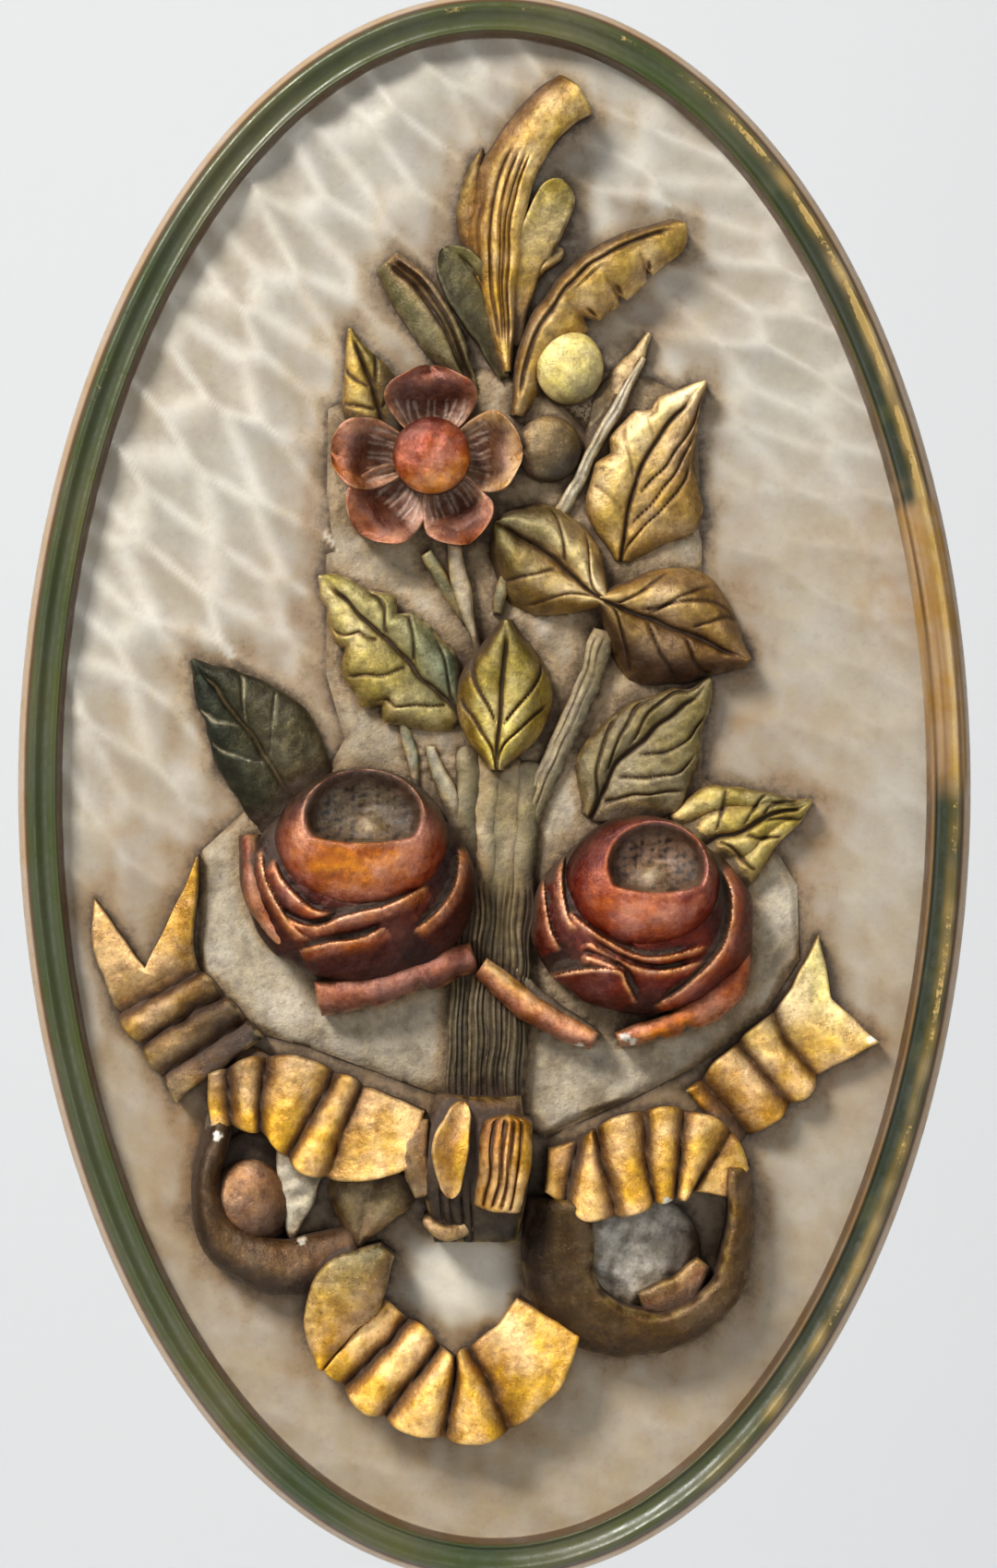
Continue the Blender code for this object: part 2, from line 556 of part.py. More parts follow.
def union_carving():
    """All the elements fused into one solid, cut flat just clear of the board's ground."""
    bed = plate()
    for carve in (top_leaves, flower, side_leaves, stems, left_rose, right_rose, ribbon_tails,
                  ribbon_bands, ribbon_loops, ribbon_fan, knot):
        carve()
    helpers.objects.unlink(bed)
    helpers.hide_render = True
    panel.objects.link(bed)
    bed.name = "flower_carving"
    bed.hide_render = False
    bed.display_type = "TEXTURED"
    bpy.ops.mesh.primitive_cube_add(size=1.0)
    cutter = bpy.context.active_object
    cutter.name = "glue_plane"
    cutter.hide_render = True
    cutter.display_type = "WIRE"
    for collection in list(cutter.users_collection):
        collection.objects.unlink(cutter)
    cutters.objects.link(cutter)
    face = GROUND + GLUE_GAP
    cutter.scale = (WIDTH * MM, face * MM, HEIGHT * MM)
    cutter.location = (0.0, -face / 2 * MM, 0.0)
    join = bed.modifiers.new("Join elements", "BOOLEAN")
    join.operation = "UNION"
    join.operand_type = "COLLECTION"
    join.collection = helpers
    join.solver = "EXACT"
    join.use_self = True
    trim = bed.modifiers.new("Flat back", "BOOLEAN")
    trim.operation = "DIFFERENCE"
    trim.object = cutter
    trim.solver = "EXACT"
    trim.use_self = True
    return bed


painted_wood = principled("Cream painted wood", (0.62, 0.55, 0.45), 0.45, 0.0)
gilding = principled("Worn gilding", (0.50, 0.36, 0.12), 0.42, 0.55)
board().data.materials.append(painted_wood)
union_carving().data.materials.append(gilding)
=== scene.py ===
import math

import bmesh
import bpy
import numpy as np
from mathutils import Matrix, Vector
from mathutils.bvhtree import BVHTree


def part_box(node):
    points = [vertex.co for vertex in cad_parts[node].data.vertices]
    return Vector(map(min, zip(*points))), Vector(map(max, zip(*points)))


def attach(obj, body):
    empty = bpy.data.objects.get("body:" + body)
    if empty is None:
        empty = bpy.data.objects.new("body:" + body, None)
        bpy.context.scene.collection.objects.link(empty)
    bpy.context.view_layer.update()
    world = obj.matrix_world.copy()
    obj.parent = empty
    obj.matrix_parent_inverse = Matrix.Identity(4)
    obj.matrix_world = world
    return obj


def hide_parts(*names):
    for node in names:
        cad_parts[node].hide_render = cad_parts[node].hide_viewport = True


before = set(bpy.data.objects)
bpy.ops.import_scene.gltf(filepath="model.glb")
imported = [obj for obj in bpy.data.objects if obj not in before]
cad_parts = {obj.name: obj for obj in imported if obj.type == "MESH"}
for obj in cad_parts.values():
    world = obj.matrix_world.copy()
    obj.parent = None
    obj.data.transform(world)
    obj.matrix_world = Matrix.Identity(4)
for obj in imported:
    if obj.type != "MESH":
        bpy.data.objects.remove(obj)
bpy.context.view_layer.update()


# The oval board. It is one piece of softwood: the ground is cut all over with a shallow gouge, and a
# moulded rim is left standing round it. It is painted cream and waxed, and the rim is green with gold
# rubbed on its outer bead.
MM = 0.001
board_low, board_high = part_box("oval_panel")
HALF_WIDTH = board_high.x / MM
HALF_HEIGHT = board_high.z / MM
GROUND = 14.0
RIM_WIDTH = 12.5
BACK_CHAMFER = 1.2
GROUND_COLUMNS = 200
GROUND_ROWS = 326
# The moulding from the ground outwards: shares of the rim's width from its outer edge, and height
RIM_MOULDING = [
    (0.99, 1.6), (0.965, 3.6), (0.935, 5.4), (0.915, 6.3), (0.885, 6.6), (0.85, 6.4), (0.825, 6.0),
    (0.79, 5.75), (0.74, 5.6), (0.68, 5.65), (0.61, 5.95), (0.55, 6.5), (0.5, 7.1), (0.455, 7.65),
    (0.41, 7.95), (0.36, 8.0), (0.31, 7.75), (0.275, 7.3), (0.255, 6.7), (0.21, 6.3), (0.15, 5.5),
    (0.09, 4.4), (0.03, 2.8), (0.0, 1.4),
]
GOUGE_LENGTH = 31.0
GOUGE_WIDTH = 12.0
GOUGE_DEPTH = 5.5
GOUGE_SPACING = 0.72
GOUGE_TRIES = 9000
RIDGE_ROUNDING = 0.22
RIDGE_REACH = 1.5
WAVES = 9
# Each stain of the ground: its place, its half width and height, and its strength
STAINS = [
    (113.0, 55.0, 11.0, 17.0, 0.75), (89.0, -8.0, 9.0, 20.0, 0.35), (108.0, 78.0, 6.0, 10.0, 0.4),
    (-58.0, 47.0, 12.0, 17.0, 0.55), (-52.0, 82.0, 8.0, 20.0, 0.45), (-88.0, -18.0, 12.0, 12.0, 0.5),
    (-106.0, -14.0, 8.0, 26.0, 0.4), (-84.0, -96.0, 14.0, 14.0, 0.45), (-58.0, -146.0, 16.0, 9.0, 0.4),
    (72.0, 20.0, 18.0, 10.0, 0.45), (70.0, 62.0, 8.0, 26.0, 0.4), (46.0, 132.0, 16.0, 10.0, 0.35),
    (92.0, -12.0, 16.0, 10.0, 0.4), (104.0, -80.0, 14.0, 14.0, 0.35), (-20.0, 150.0, 12.0, 14.0, 0.3),
]
CLEAN_PLACE = (-8.0, -139.0)
CLEAN_SIZE = (15.0, 12.5)


def seen(red, green, blue):
    """A colour as the eye sees it, each part from 0 to 255, in the linear values that a shader takes."""
    parts = np.array([red, green, blue]) / 255
    return np.where(parts <= 0.04045, parts / 12.92, ((parts + 0.055) / 1.055) ** 2.4)


CREAM = seen(165, 158, 145)
TAN = seen(160, 138, 106)
STAIN = seen(150, 120, 84)
BARE_EDGE = seen(182, 160, 134)
RIM_GREEN = seen(58, 72, 40)
DEEP_GREEN = seen(32, 38, 24)
OLD_OLIVE = seen(94, 92, 56)
BARE_WOOD = seen(166, 132, 80)
RIM_LINE = seen(84, 62, 40)
RUBBED_GOLD = seen(196, 168, 104)
# The paint of the painted highlight on the ground's ridges
RIDGE_HIGHLIGHT = seen(228, 222, 208)
CLEAN_CREAM = seen(220, 212, 194)
BEAD_BROWN = seen(138, 112, 80)
BEAD_UMBER = seen(104, 78, 44)
WOOD_STREAK = seen(112, 78, 42)
WOOD_CREST = seen(200, 168, 106)
# Dark brown of old dirt and of painted shade
DIRT_AND_SHADE = seen(60, 42, 27)
PORE_TINT = (0.48, 0.38, 0.26)
FADED_TINT = (1.0, 0.92, 0.72)
VEIL_TINT = (0.7, 0.55, 0.38)


def mix(first, second, share):
    """A colour between two, the share being 0 to 1 at each point."""
    share = np.clip(np.asarray(share, float), 0.0, 1.0)[..., None]
    return np.asarray(first) * (1 - share) + np.asarray(second) * share


def ramp(low, high, value):
    """0 below low, 1 above high, and a smooth rise between them."""
    share = np.clip((np.asarray(value, float) - low) / (high - low), 0.0, 1.0)
    return share * share * (3 - 2 * share)


def uneven(x, z, size, seed):
    """A soft unevenness from -1 to 1 with bumps of about the size given, in millimetres."""
    chance = np.random.default_rng(seed)
    total = np.zeros_like(np.asarray(x, float))
    for _ in range(WAVES):
        turn = chance.uniform(0, 2 * math.pi)
        length = size * chance.uniform(0.6, 1.6)
        phase = chance.uniform(0, 2 * math.pi)
        total += np.sin((x * math.cos(turn) + z * math.sin(turn)) * 2 * math.pi / length + phase)
    return total / (WAVES / 2)


def on_disc(x, y):
    """A square from -1 to 1 as a disc: the radius and the angle of each of its points."""
    across = x * np.sqrt(1 - y * y / 2)
    up = y * np.sqrt(1 - x * x / 2)
    return np.hypot(across, up), np.arctan2(up, across)


def coordinates(data):
    """The points of a mesh as an array."""
    flat = np.empty(len(data.vertices) * 3)
    data.vertices.foreach_get("co", flat)
    return flat.reshape(-1, 3)


def store(data, points, colour, **values):
    """Moves a mesh's points, in millimetres (x, height above the ground, z). It stores their paint, and by
    name their gilt, the share that is rubbed through, their darkening by dirt and painted shade, and the
    share of that darkening that they are spared."""
    x, height, z = points
    place = np.stack([x, -(GROUND + height), z], axis=1) * MM
    data.vertices.foreach_set("co", place.ravel())
    layer = data.attributes.new("paint", "FLOAT_COLOR", "POINT")
    layer.data.foreach_set("color", np.hstack([colour, np.ones((len(colour), 1))]).ravel())
    for name, value in values.items():
        layer = data.attributes.new(name, "FLOAT", "POINT")
        layer.data.foreach_set("value", np.broadcast_to(value, len(colour)).astype(float).ravel())
    data.update()


def extruded(work, edges, offset):
    """Extrudes a row of boundary edges by an offset. It returns the new boundary."""
    grown = bmesh.ops.extrude_edge_only(work, edges=edges)["geom"]
    moved = [v for v in grown if isinstance(v, bmesh.types.BMVert)]
    bmesh.ops.translate(work, verts=moved, vec=offset)
    return [edge for edge in grown if isinstance(edge, bmesh.types.BMEdge) and edge.is_boundary]


def as_mesh(name, work):
    """The mesh of a finished bmesh."""
    data = bpy.data.meshes.new(name)
    work.to_mesh(data)
    work.free()
    return data


def placed(name, data):
    """A new object in the scene."""
    made = bpy.data.objects.new(name, data)
    bpy.context.scene.collection.objects.link(made)
    return made


def gouge_marks():
    """The middle, the direction and the depth of each cut of the gouge, spread without crowding."""
    chance = np.random.default_rng(11)
    marks = []
    for _ in range(GOUGE_TRIES):
        x = chance.uniform(-HALF_WIDTH, HALF_WIDTH)
        z = chance.uniform(-HALF_HEIGHT, HALF_HEIGHT)
        lean = 48 - 24 * ramp(-20, 60, x) * ramp(-80, 60, z) - 26 * ramp(-60, -150, z) + chance.uniform(-6, 6)
        turn = -math.radians(lean)
        if marks:
            known = np.array(marks)
            along = (known[:, 0] - x) * math.cos(turn) + (known[:, 1] - z) * math.sin(turn)
            aside = (known[:, 1] - z) * math.cos(turn) - (known[:, 0] - x) * math.sin(turn)
            if np.hypot(along / GOUGE_LENGTH, aside / GOUGE_WIDTH).min() < GOUGE_SPACING:
                continue
        marks.append((x, z, turn, chance.uniform(0.0, 0.22)))
    return marks


def gouged(x, z):
    """The depth of the gouged ground and how near each point is to a ridge between two cuts."""
    lowest = np.full(len(x), 9.0)
    second = np.full(len(x), 9.0)
    total = np.zeros(len(x))
    for middle_x, middle_z, turn, sunk in gouge_marks():
        along = (x - middle_x) * math.cos(turn) + (z - middle_z) * math.sin(turn)
        aside = (z - middle_z) * math.cos(turn) - (x - middle_x) * math.sin(turn)
        cut = GOUGE_DEPTH * ((along / GOUGE_LENGTH) ** 2 + (aside / GOUGE_WIDTH) ** 2) - sunk
        second = np.minimum(second, np.maximum(cut, lowest))
        lowest = np.minimum(lowest, cut)
        total += np.exp(-np.minimum(cut, 8.0) / RIDGE_ROUNDING)
    return -RIDGE_ROUNDING * np.log(total), np.exp(-(((second - lowest) / RIDGE_REACH) ** 2))


board = bmesh.new()
bmesh.ops.create_grid(board, x_segments=GROUND_COLUMNS, y_segments=GROUND_ROWS, size=1.0)
outline = [edge for edge in board.edges if edge.is_boundary]
for _ in range(len(RIM_MOULDING) + 2):
    outline = extruded(board, outline, (0, 0, 1))
bmesh.ops.contextual_create(board, geom=outline)
board_data = as_mesh("oval_board", board)

square = coordinates(board_data)
ring = np.round(square[:, 2]).astype(int)
radius, angle = on_disc(square[:, 0], square[:, 1])
profile = [(1.0, 0.0), *RIM_MOULDING, (0.0, BACK_CHAMFER - GROUND), (BACK_CHAMFER / RIM_WIDTH, -GROUND)]
rim_share, rim_height = np.array(profile)[ring].T
facing = np.stack([np.cos(angle) / HALF_WIDTH, np.sin(angle) / HALF_HEIGHT])
facing /= np.linalg.norm(facing, axis=0)
edge_x = HALF_WIDTH * np.cos(angle) - facing[0] * RIM_WIDTH * rim_share
edge_z = HALF_HEIGHT * np.sin(angle) - facing[1] * RIM_WIDTH * rim_share
board_x = edge_x * radius
board_z = edge_z * radius
cuts, ridge = gouged(board_x, board_z)
calm = (0.35 + 0.65 * ramp(-90, 20, board_z)) * (1 - 0.5 * ramp(-30, 60, board_x) * ramp(140, 70, board_z))
on_ground = ring == 0
board_height = np.where(on_ground, (cuts - 0.7) * calm, rim_height)
hand = 0.12 * uneven(board_x, board_z, 16, 3) * (rim_height > 1)
board_height = board_height + np.where(on_ground, 0.0, hand)

ground_colour = mix(CREAM, TAN, 0.15 + 0.5 * ramp(120, -190, board_z) + 0.2 * uneven(board_x, board_z, 70, 5))
# Painted highlight: the ridges between the gouge cuts are painted paler on the upper left and along the top,
# where the light falls on them
lightened = np.maximum(ramp(60, -70, board_x) * ramp(-60, 60, board_z), 0.6 * ramp(60, 120, board_z))
lit_ridge = ridge * (0.12 + 0.88 * lightened)
ground_colour = mix(ground_colour, RIDGE_HIGHLIGHT, 0.5 * lit_ridge)
patchy = 0.75 + 0.45 * uneven(board_x, board_z, 9, 13)
for stain_x, stain_z, wide, tall, strength in STAINS:
    near = np.hypot((board_x - stain_x) / wide, (board_z - stain_z) / tall)
    ground_colour = mix(ground_colour, STAIN, strength * patchy * np.exp(-(near**2)))
frayed = 1 + 0.12 * uneven(board_x, board_z, 9, 14)
clean_x = (board_x - CLEAN_PLACE[0]) / CLEAN_SIZE[0] / frayed
clean_z = (board_z - CLEAN_PLACE[1]) / CLEAN_SIZE[1] / frayed
clean_patch = np.exp(-(clean_x**6) - clean_z**6)
ground_colour = mix(ground_colour, CLEAN_CREAM, 0.8 * clean_patch)
right_side = ramp(40, 100, board_x)
aged_green = mix(RIM_GREEN, OLD_OLIVE, 0.35 + 0.35 * uneven(board_x, board_z, 60, 8))
inner_bead = mix(aged_green, BEAD_BROWN, right_side * ramp(150, 60, board_z))
dark_cove = mix(DEEP_GREEN, OLD_OLIVE, 0.35 * ramp(0.1, 0.9, uneven(board_x, board_z, 15, 16)))
cove = mix(aged_green, dark_cove, right_side * 0.8)
blotches = 0.5 + 0.5 * uneven(board_x, board_z, 12, 15)
gilt_bead = mix(BEAD_UMBER, RUBBED_GOLD, 0.75 * blotches)
bead = mix(aged_green, gilt_bead, right_side * (0.3 + 0.5 * blotches + 0.2 * ramp(0, 100, board_z)))
# From the ground outwards: a dark line, the inner bead, the cove, the outer bead, a line and the bare edge
rim_colour = RIM_LINE
for paint, before, after in ((inner_bead, 0.95, 0.88), (cove, 0.87, 0.82), (bead, 0.6, 0.46),
                             (RIM_LINE, 0.28, 0.25), (BARE_EDGE, 0.22, 0.16)):
    rim_colour = mix(rim_colour, paint, ramp(before, after, rim_share))
bare = ramp(87, 74, board_z + 3 * uneven(board_x, board_z, 8, 9)) * ramp(-6, 8, board_z) * (board_x > 0)
streaks = uneven(rim_share * 60, board_z * 0.12, 9, 12)
bare_colour = mix(BARE_WOOD, WOOD_STREAK, 0.35 + 0.5 * streaks)
bare_colour = mix(bare_colour, WOOD_CREST, ramp(0.12, 0.0, abs(rim_share - 0.4)))
rim_colour = mix(rim_colour, bare_colour, bare * ramp(0.08, 0.14, rim_share))
board_colour = np.where(on_ground[:, None], ground_colour, rim_colour)
crest = ramp(0.3, 0.36, rim_share) * ramp(0.56, 0.44, rim_share)
handled = 0.12 + 0.3 * ramp(0, 120, board_z) + 0.45 * right_side
board_rub = np.where(on_ground, 0.0, crest * handled * (0.8 + 0.35 * uneven(board_x, board_z, 20, 17)))
store(board_data, (board_x, board_height, board_z), board_colour, gilt=board_rub * 0.6,
      rub=board_rub * (1 - bare), grime=np.where(on_ground, 0.0, 0.15))
oval_board = placed("oval_board", board_data)


def smooth(data, sharp_degrees):
    """Turns the faces outwards and shades them smooth, with an arris where they turn sharply."""
    work = bmesh.new()
    work.from_mesh(data)
    bmesh.ops.recalc_face_normals(work, faces=work.faces)
    work.to_mesh(data)
    work.free()
    data.shade_smooth()
    data.set_sharp_from_angle(angle=math.radians(sharp_degrees))


smooth(board_data, 42)


def aged(name, speckle, rub_tone, roughness, fleck_scale, mottle, relief_depth):
    """Old paint over wood: the stored paint, mottled, with pores of dirt, rubbed places, and hollows that are
    darkened by dirt and painted shade.
    Speckle is how strongly the pores show, rub_tone is the colour of the rubbed places, a higher
    fleck_scale makes the pores finer, mottle is how far the paint varies in brightness, and relief_depth
    is the depth of the paint's own relief in metres."""
    material = bpy.data.materials.new(name)
    material.use_nodes = True
    tree = material.node_tree
    shader = tree.nodes["Principled BSDF"]
    place = tree.nodes.new("ShaderNodeTexCoord")

    def link(source, target):
        tree.links.new(source, target)

    def attribute(which):
        node = tree.nodes.new("ShaderNodeAttribute")
        node.attribute_name = which
        return node.outputs["Color" if which == "paint" else "Fac"]

    def clouds(scale, detail, harshness=0.6):
        node = tree.nodes.new("ShaderNodeTexNoise")
        node.inputs["Scale"].default_value = scale
        node.inputs["Detail"].default_value = detail
        node.inputs["Roughness"].default_value = harshness
        link(place.outputs["Object"], node.inputs["Vector"])
        return node.outputs["Fac"]

    def between(value, low, high, to_low=0.0, to_high=1.0):
        node = tree.nodes.new("ShaderNodeMapRange")
        node.interpolation_type = "SMOOTHSTEP"
        for socket, number in zip(("From Min", "From Max", "To Min", "To Max"), (low, high, to_low, to_high)):
            node.inputs[socket].default_value = number
        link(value, node.inputs["Value"])
        return node.outputs["Result"]

    def sums(kind, first, second):
        node = tree.nodes.new("ShaderNodeMath")
        node.operation = kind
        node.use_clamp = kind != "ADD"
        for socket, value in zip(node.inputs, (first, second)):
            if isinstance(value, float):
                socket.default_value = value
            else:
                link(value, socket)
        return node.outputs["Value"]

    def blend(share, first, second, kind="MIX"):
        node = tree.nodes.new("ShaderNodeMix")
        node.data_type = "RGBA"
        node.blend_type = kind
        for socket, value in zip((node.inputs[0], node.inputs[6], node.inputs[7]), (share, first, second)):
            if isinstance(value, float):
                socket.default_value = value
            elif isinstance(value, (tuple, np.ndarray)):
                socket.default_value = (*value, 1.0)
            else:
                link(value, socket)
        return node.outputs[2]

    broad = clouds(75.0, 4.0)
    middle = clouds(260.0, 5.0, 0.65)
    fine = clouds(fleck_scale, 6.0, 0.75)
    shade = tree.nodes.new("ShaderNodeHueSaturation")
    link(attribute("paint"), shade.inputs["Color"])
    link(between(sums("ADD", broad, middle), 0.75, 1.25, 1 - mottle, 1 + mottle), shade.inputs["Value"])
    link(between(broad, 0.35, 0.65, 1.12, 0.85), shade.inputs["Saturation"])
    link(between(middle, 0.3, 0.7, 0.494, 0.506), shade.inputs["Hue"])
    colour = shade.outputs["Color"]
    colour = blend(between(fine, 0.52, 0.66, 0.0, speckle), colour, PORE_TINT, "MULTIPLY")
    colour = blend(between(fine, 0.46, 0.34, 0.0, speckle), colour, FADED_TINT, "SOFT_LIGHT")
    rubbed = between(sums("ADD", attribute("rub"), fine), 0.95, 1.1)
    colour = blend(rubbed, colour, rub_tone)
    # The stored darkening, partly dirt and partly painted shade in hollows, under leaves and on walls, browns
    # and darkens the colour and makes it duller and less metallic
    hollow = sums("ADD", attribute("grime"), between(sums("ADD", fine, middle), 0.7, 1.3, -0.22, 0.22))
    dirty_and_shaded = between(hollow, 0.2, 1.1, 0.0, 0.9)
    veil = sums("ADD", attribute("grime"), between(middle, 0.3, 0.7, -0.06, 0.06))
    colour = blend(between(veil, 0.0, 0.4, 0.0, 0.85), colour, VEIL_TINT, "MULTIPLY")
    colour = blend(dirty_and_shaded, colour, DIRT_AND_SHADE)
    link(colour, shader.inputs["Base Color"])
    clean = sums("SUBTRACT", 1.0, dirty_and_shaded)
    link(sums("MULTIPLY", attribute("gilt"), clean), shader.inputs["Metallic"])
    uneven_gloss = between(middle, 0.3, 0.7, roughness - 0.08, roughness + 0.12)
    link(sums("ADD", uneven_gloss, sums("MULTIPLY", dirty_and_shaded, 0.3)), shader.inputs["Roughness"])
    relief = sums("ADD", sums("MULTIPLY", fine, 0.4), sums("MULTIPLY", middle, 0.6))
    bump = tree.nodes.new("ShaderNodeBump")
    bump.inputs["Strength"].default_value = 1.0
    bump.inputs["Distance"].default_value = relief_depth
    link(relief, bump.inputs["Height"])
    link(bump.outputs["Normal"], shader.inputs["Normal"])
    return material


waxed_cream = aged("waxed_cream_paint", speckle=0.1, rub_tone=RUBBED_GOLD, roughness=0.34, fleck_scale=500.0,
                   mottle=0.05, relief_depth=0.00015)
board_data.materials.append(waxed_cream)
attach(oval_board, "root")
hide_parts("oval_panel")


# The bed and the stems. The whole bouquet is carved from one block that is glued on the ground. A low
# bed of it is left between the flowers, coated with grey gesso, and the tied stems run down over it.
GESSO = seen(168, 155, 132)
PALE_BED = seen(186, 172, 148)
STAINED_BED = seen(120, 106, 84)
BED_EDGE = seen(150, 134, 108)
GREY_GREEN = seen(116, 112, 88)
UMBER = seen(48, 34, 22)
WORN_EDGE = seen(206, 178, 112)
SINK = 1.0
EVEN = 0.485


def block(rows, across, walls):
    """A flat grid with walls below it and a closed foot: x across, y along, z down the walls from 0 to -1."""
    mesh = bmesh.new()
    bmesh.ops.create_grid(mesh, x_segments=across, y_segments=rows, size=1.0)
    outline = [edge for edge in mesh.edges if edge.is_boundary]
    for _ in range(walls):
        outline = extruded(mesh, outline, (0, 0, -1 / walls))
    bmesh.ops.contextual_create(mesh, geom=outline)
    return as_mesh("carved", mesh)


def round_block(count, walls):
    """A block on a disc: its mesh, and each point's share of the radius, its angle and how far down a wall
    it is."""
    data = block(count, count, walls)
    shape = coordinates(data)
    reach, turn = on_disc(shape[:, 0], shape[:, 1])
    return data, reach, turn, -shape[:, 2]


def through(points, t):
    """The smooth curve through evenly spaced points, read at each t from 0 to 1."""
    points = np.asarray(points, float)
    if points.ndim == 1:
        points = points[:, None]
    last = len(points) - 1
    t = np.clip(np.asarray(t, float), 0.0, 1.0)
    k = np.minimum((t * last).astype(int), last - 1)
    f = (t * last - k)[:, None]
    ends = np.vstack([2 * points[0] - points[1], points, 2 * points[-1] - points[-2]])
    a, b, c, d = ends[k], ends[k + 1], ends[k + 2], ends[k + 3]
    bend = (c - a) * f + (2 * a - 5 * b + 4 * c - d) * f**2 + (3 * b - a - 3 * c + d) * f**3
    return (b + bend / 2).squeeze()


def groove(distance, depth, width):
    """A cut of round section: how far it lowers the wood at a distance from its line."""
    return -depth * np.exp(-((distance / width) ** 2))


def strip(spine, left, right, rise, tones, crown=0.25, ribs=0, rib_depth=0.0, tilt=0.0, pleats=(),
          pleat_depth=0.0, falls=(0.0, 0.0), notches=(), prongs=None, undercut=0.0, cuts=(), rim=WORN_EDGE,
          wall=UMBER, gilt=0.45, ink=UMBER, soft=1.2, rough=0.16, ends=(0.0, 0.0), wave=0.4, hollow=None,
          clean=0.0, inking=(0.2, 1.3)):
    """A carved strip along a spine, as fine mesh. Left and right are its half widths and rise its heights,
    from base to tip. The tones are its paint at the base's left and right and at the tip's left and right.
    Crown arches it, ribs are long ridges, tilt raises its left, and falls lets its left and right sides
    drop away. Pleats are the places of the creases between rounded folds. Each notch is a side, a place, a
    depth and a width. Prongs are how far its tip runs on at the left, the middle and the right. Undercut
    draws its foot in, and each of the cuts is a function that lowers the wood at its places. Rim is the
    paint of its rubbed edge, wall the dark paint of its sides, which is painted shade with some dirt, ink
    the paint of its cuts and hollow of what is away from its edges. Gilt is how metallic its paint is, and
    rough and wave are how uneven its surface and its outline are. Soft is how wide its edge is rounded, ends
    are the lengths over which its base and tip are rounded, the share of the later dirt and painted shade
    that stays off it is given too, and inking is the depths at which a cut begins to take the ink and is
    full of it."""
    length = np.linalg.norm(np.diff(through(spine, np.linspace(0, 1, 60)), axis=0), axis=1).sum()
    widest = max(np.max(left) + np.max(right), 2.0)
    rows = int(np.clip(length / EVEN, 8, 150))
    across = int(np.clip(widest / EVEN, 8, 90))
    data = block(rows, across, 3)
    shape = coordinates(data)
    v = np.sin(shape[:, 0] * math.pi / 2) * 0.35 + shape[:, 0] * 0.65
    u = (shape[:, 1] + 1) / 2
    down = -shape[:, 2]
    grid = np.linspace(0, 1, 241)
    line = through(spine, grid)
    ahead = np.gradient(line, axis=0)
    ahead /= np.linalg.norm(ahead, axis=1)[:, None]
    travelled = np.concatenate([[0.0], np.cumsum(np.linalg.norm(np.diff(line, axis=0), axis=1))])

    def at(values):
        return np.interp(u, grid, values)

    x, z, ahead_x, ahead_z = at(line[:, 0]), at(line[:, 1]), at(ahead[:, 0]), at(ahead[:, 1])
    along = at(travelled)
    widths = {-1: through(left, grid), 1: through(right, grid)}
    total = widths[-1] + widths[1]
    for side, place, depth, width in notches:
        bite = np.clip(1.0 - np.abs(grid - place) / width, 0.0, 1.0)
        widths[side] = widths[side] * (1.0 - depth * bite)
    half = np.where(v < 0, at(widths[-1]), at(widths[1]))
    for rounding, from_end in ((ends[0], along), (ends[1], length - along)):
        if rounding:
            half = half * np.sqrt(1 - np.clip(1 - (from_end + 0.05) / rounding, 0, 1) ** 2)
    side = -v * half
    prong_start = 0.5
    stretch = np.interp(v, (-1, 0, 1), prongs or (0, 0, 0)) / length / (1 - prong_start)
    forward = stretch * np.maximum(0.0, along - prong_start * length)
    height = at(through(rise, grid)) + crown * (1 - v**2) - tilt * v
    fine = np.zeros_like(u)
    creased = np.zeros_like(u)
    if pleats:
        marks = np.array([-pleats[0], *pleats, 2 - pleats[-1]])
        shifted = u + 0.012 * v
        fold = np.clip(np.searchsorted(marks, shifted) - 1, 0, len(marks) - 2)
        part = np.clip((shifted - marks[fold]) / (marks[fold + 1] - marks[fold]), 0, 1)
        swell = np.sin(math.pi * part) ** 0.6
        height = height + pleat_depth * (swell - 1)
        nearest = np.abs(shifted[:, None] - np.array(pleats)).min(axis=1) * length
        creased = np.exp(-((nearest / 2.1) ** 2))
        half = half * (0.89 + 0.11 * swell)
        side = -v * half
    height = height - np.where(v < 0, falls[0], falls[1]) * np.abs(v) ** 1.7
    if ribs:
        local = rib_depth * at(total) / total.max()
        height = height - local * (1 - np.abs(np.sin(math.pi * ribs * (v + 1) / 2)))
    spot = {"u": u, "v": v, "along": along, "side": side, "half": half, "length": length}
    for cut in cuts:
        fine = fine + cut(spot)
    to_edge = (1 - np.abs(v)) * half
    to_edge = np.minimum(to_edge, np.minimum(along, length - along) + 0.15)
    edge_drop = soft * (1 - np.sqrt(1 - np.clip(1 - to_edge / (soft + 0.01), 0, 1) ** 2))
    px = x - ahead_z * side + ahead_x * forward
    pz = z + ahead_x * side + ahead_z * forward
    px, pz = px + wave * uneven(px, pz, 13.0, 51), pz + wave * uneven(px, pz, 13.0, 52)
    height = height + fine - edge_drop + rough * uneven(px, pz, 5.0, int(length * 7) % 97)
    draw = undercut * np.minimum(1.0, down * 1.6)
    px = px + (x - px) * draw
    pz = pz + (z - pz) * draw
    top = height
    height = top * (1 - down) - SINK * down
    rightwards = ramp(-0.75, 0.75, v)
    colour = mix(mix(tones[0], tones[1], rightwards), mix(tones[2], tones[3], rightwards), ramp(0, 1, u))
    if hollow is not None:
        colour = mix(colour, hollow, ramp(1.5, 6.0, to_edge) * ramp(0.05, 0.4, u) * 0.85)
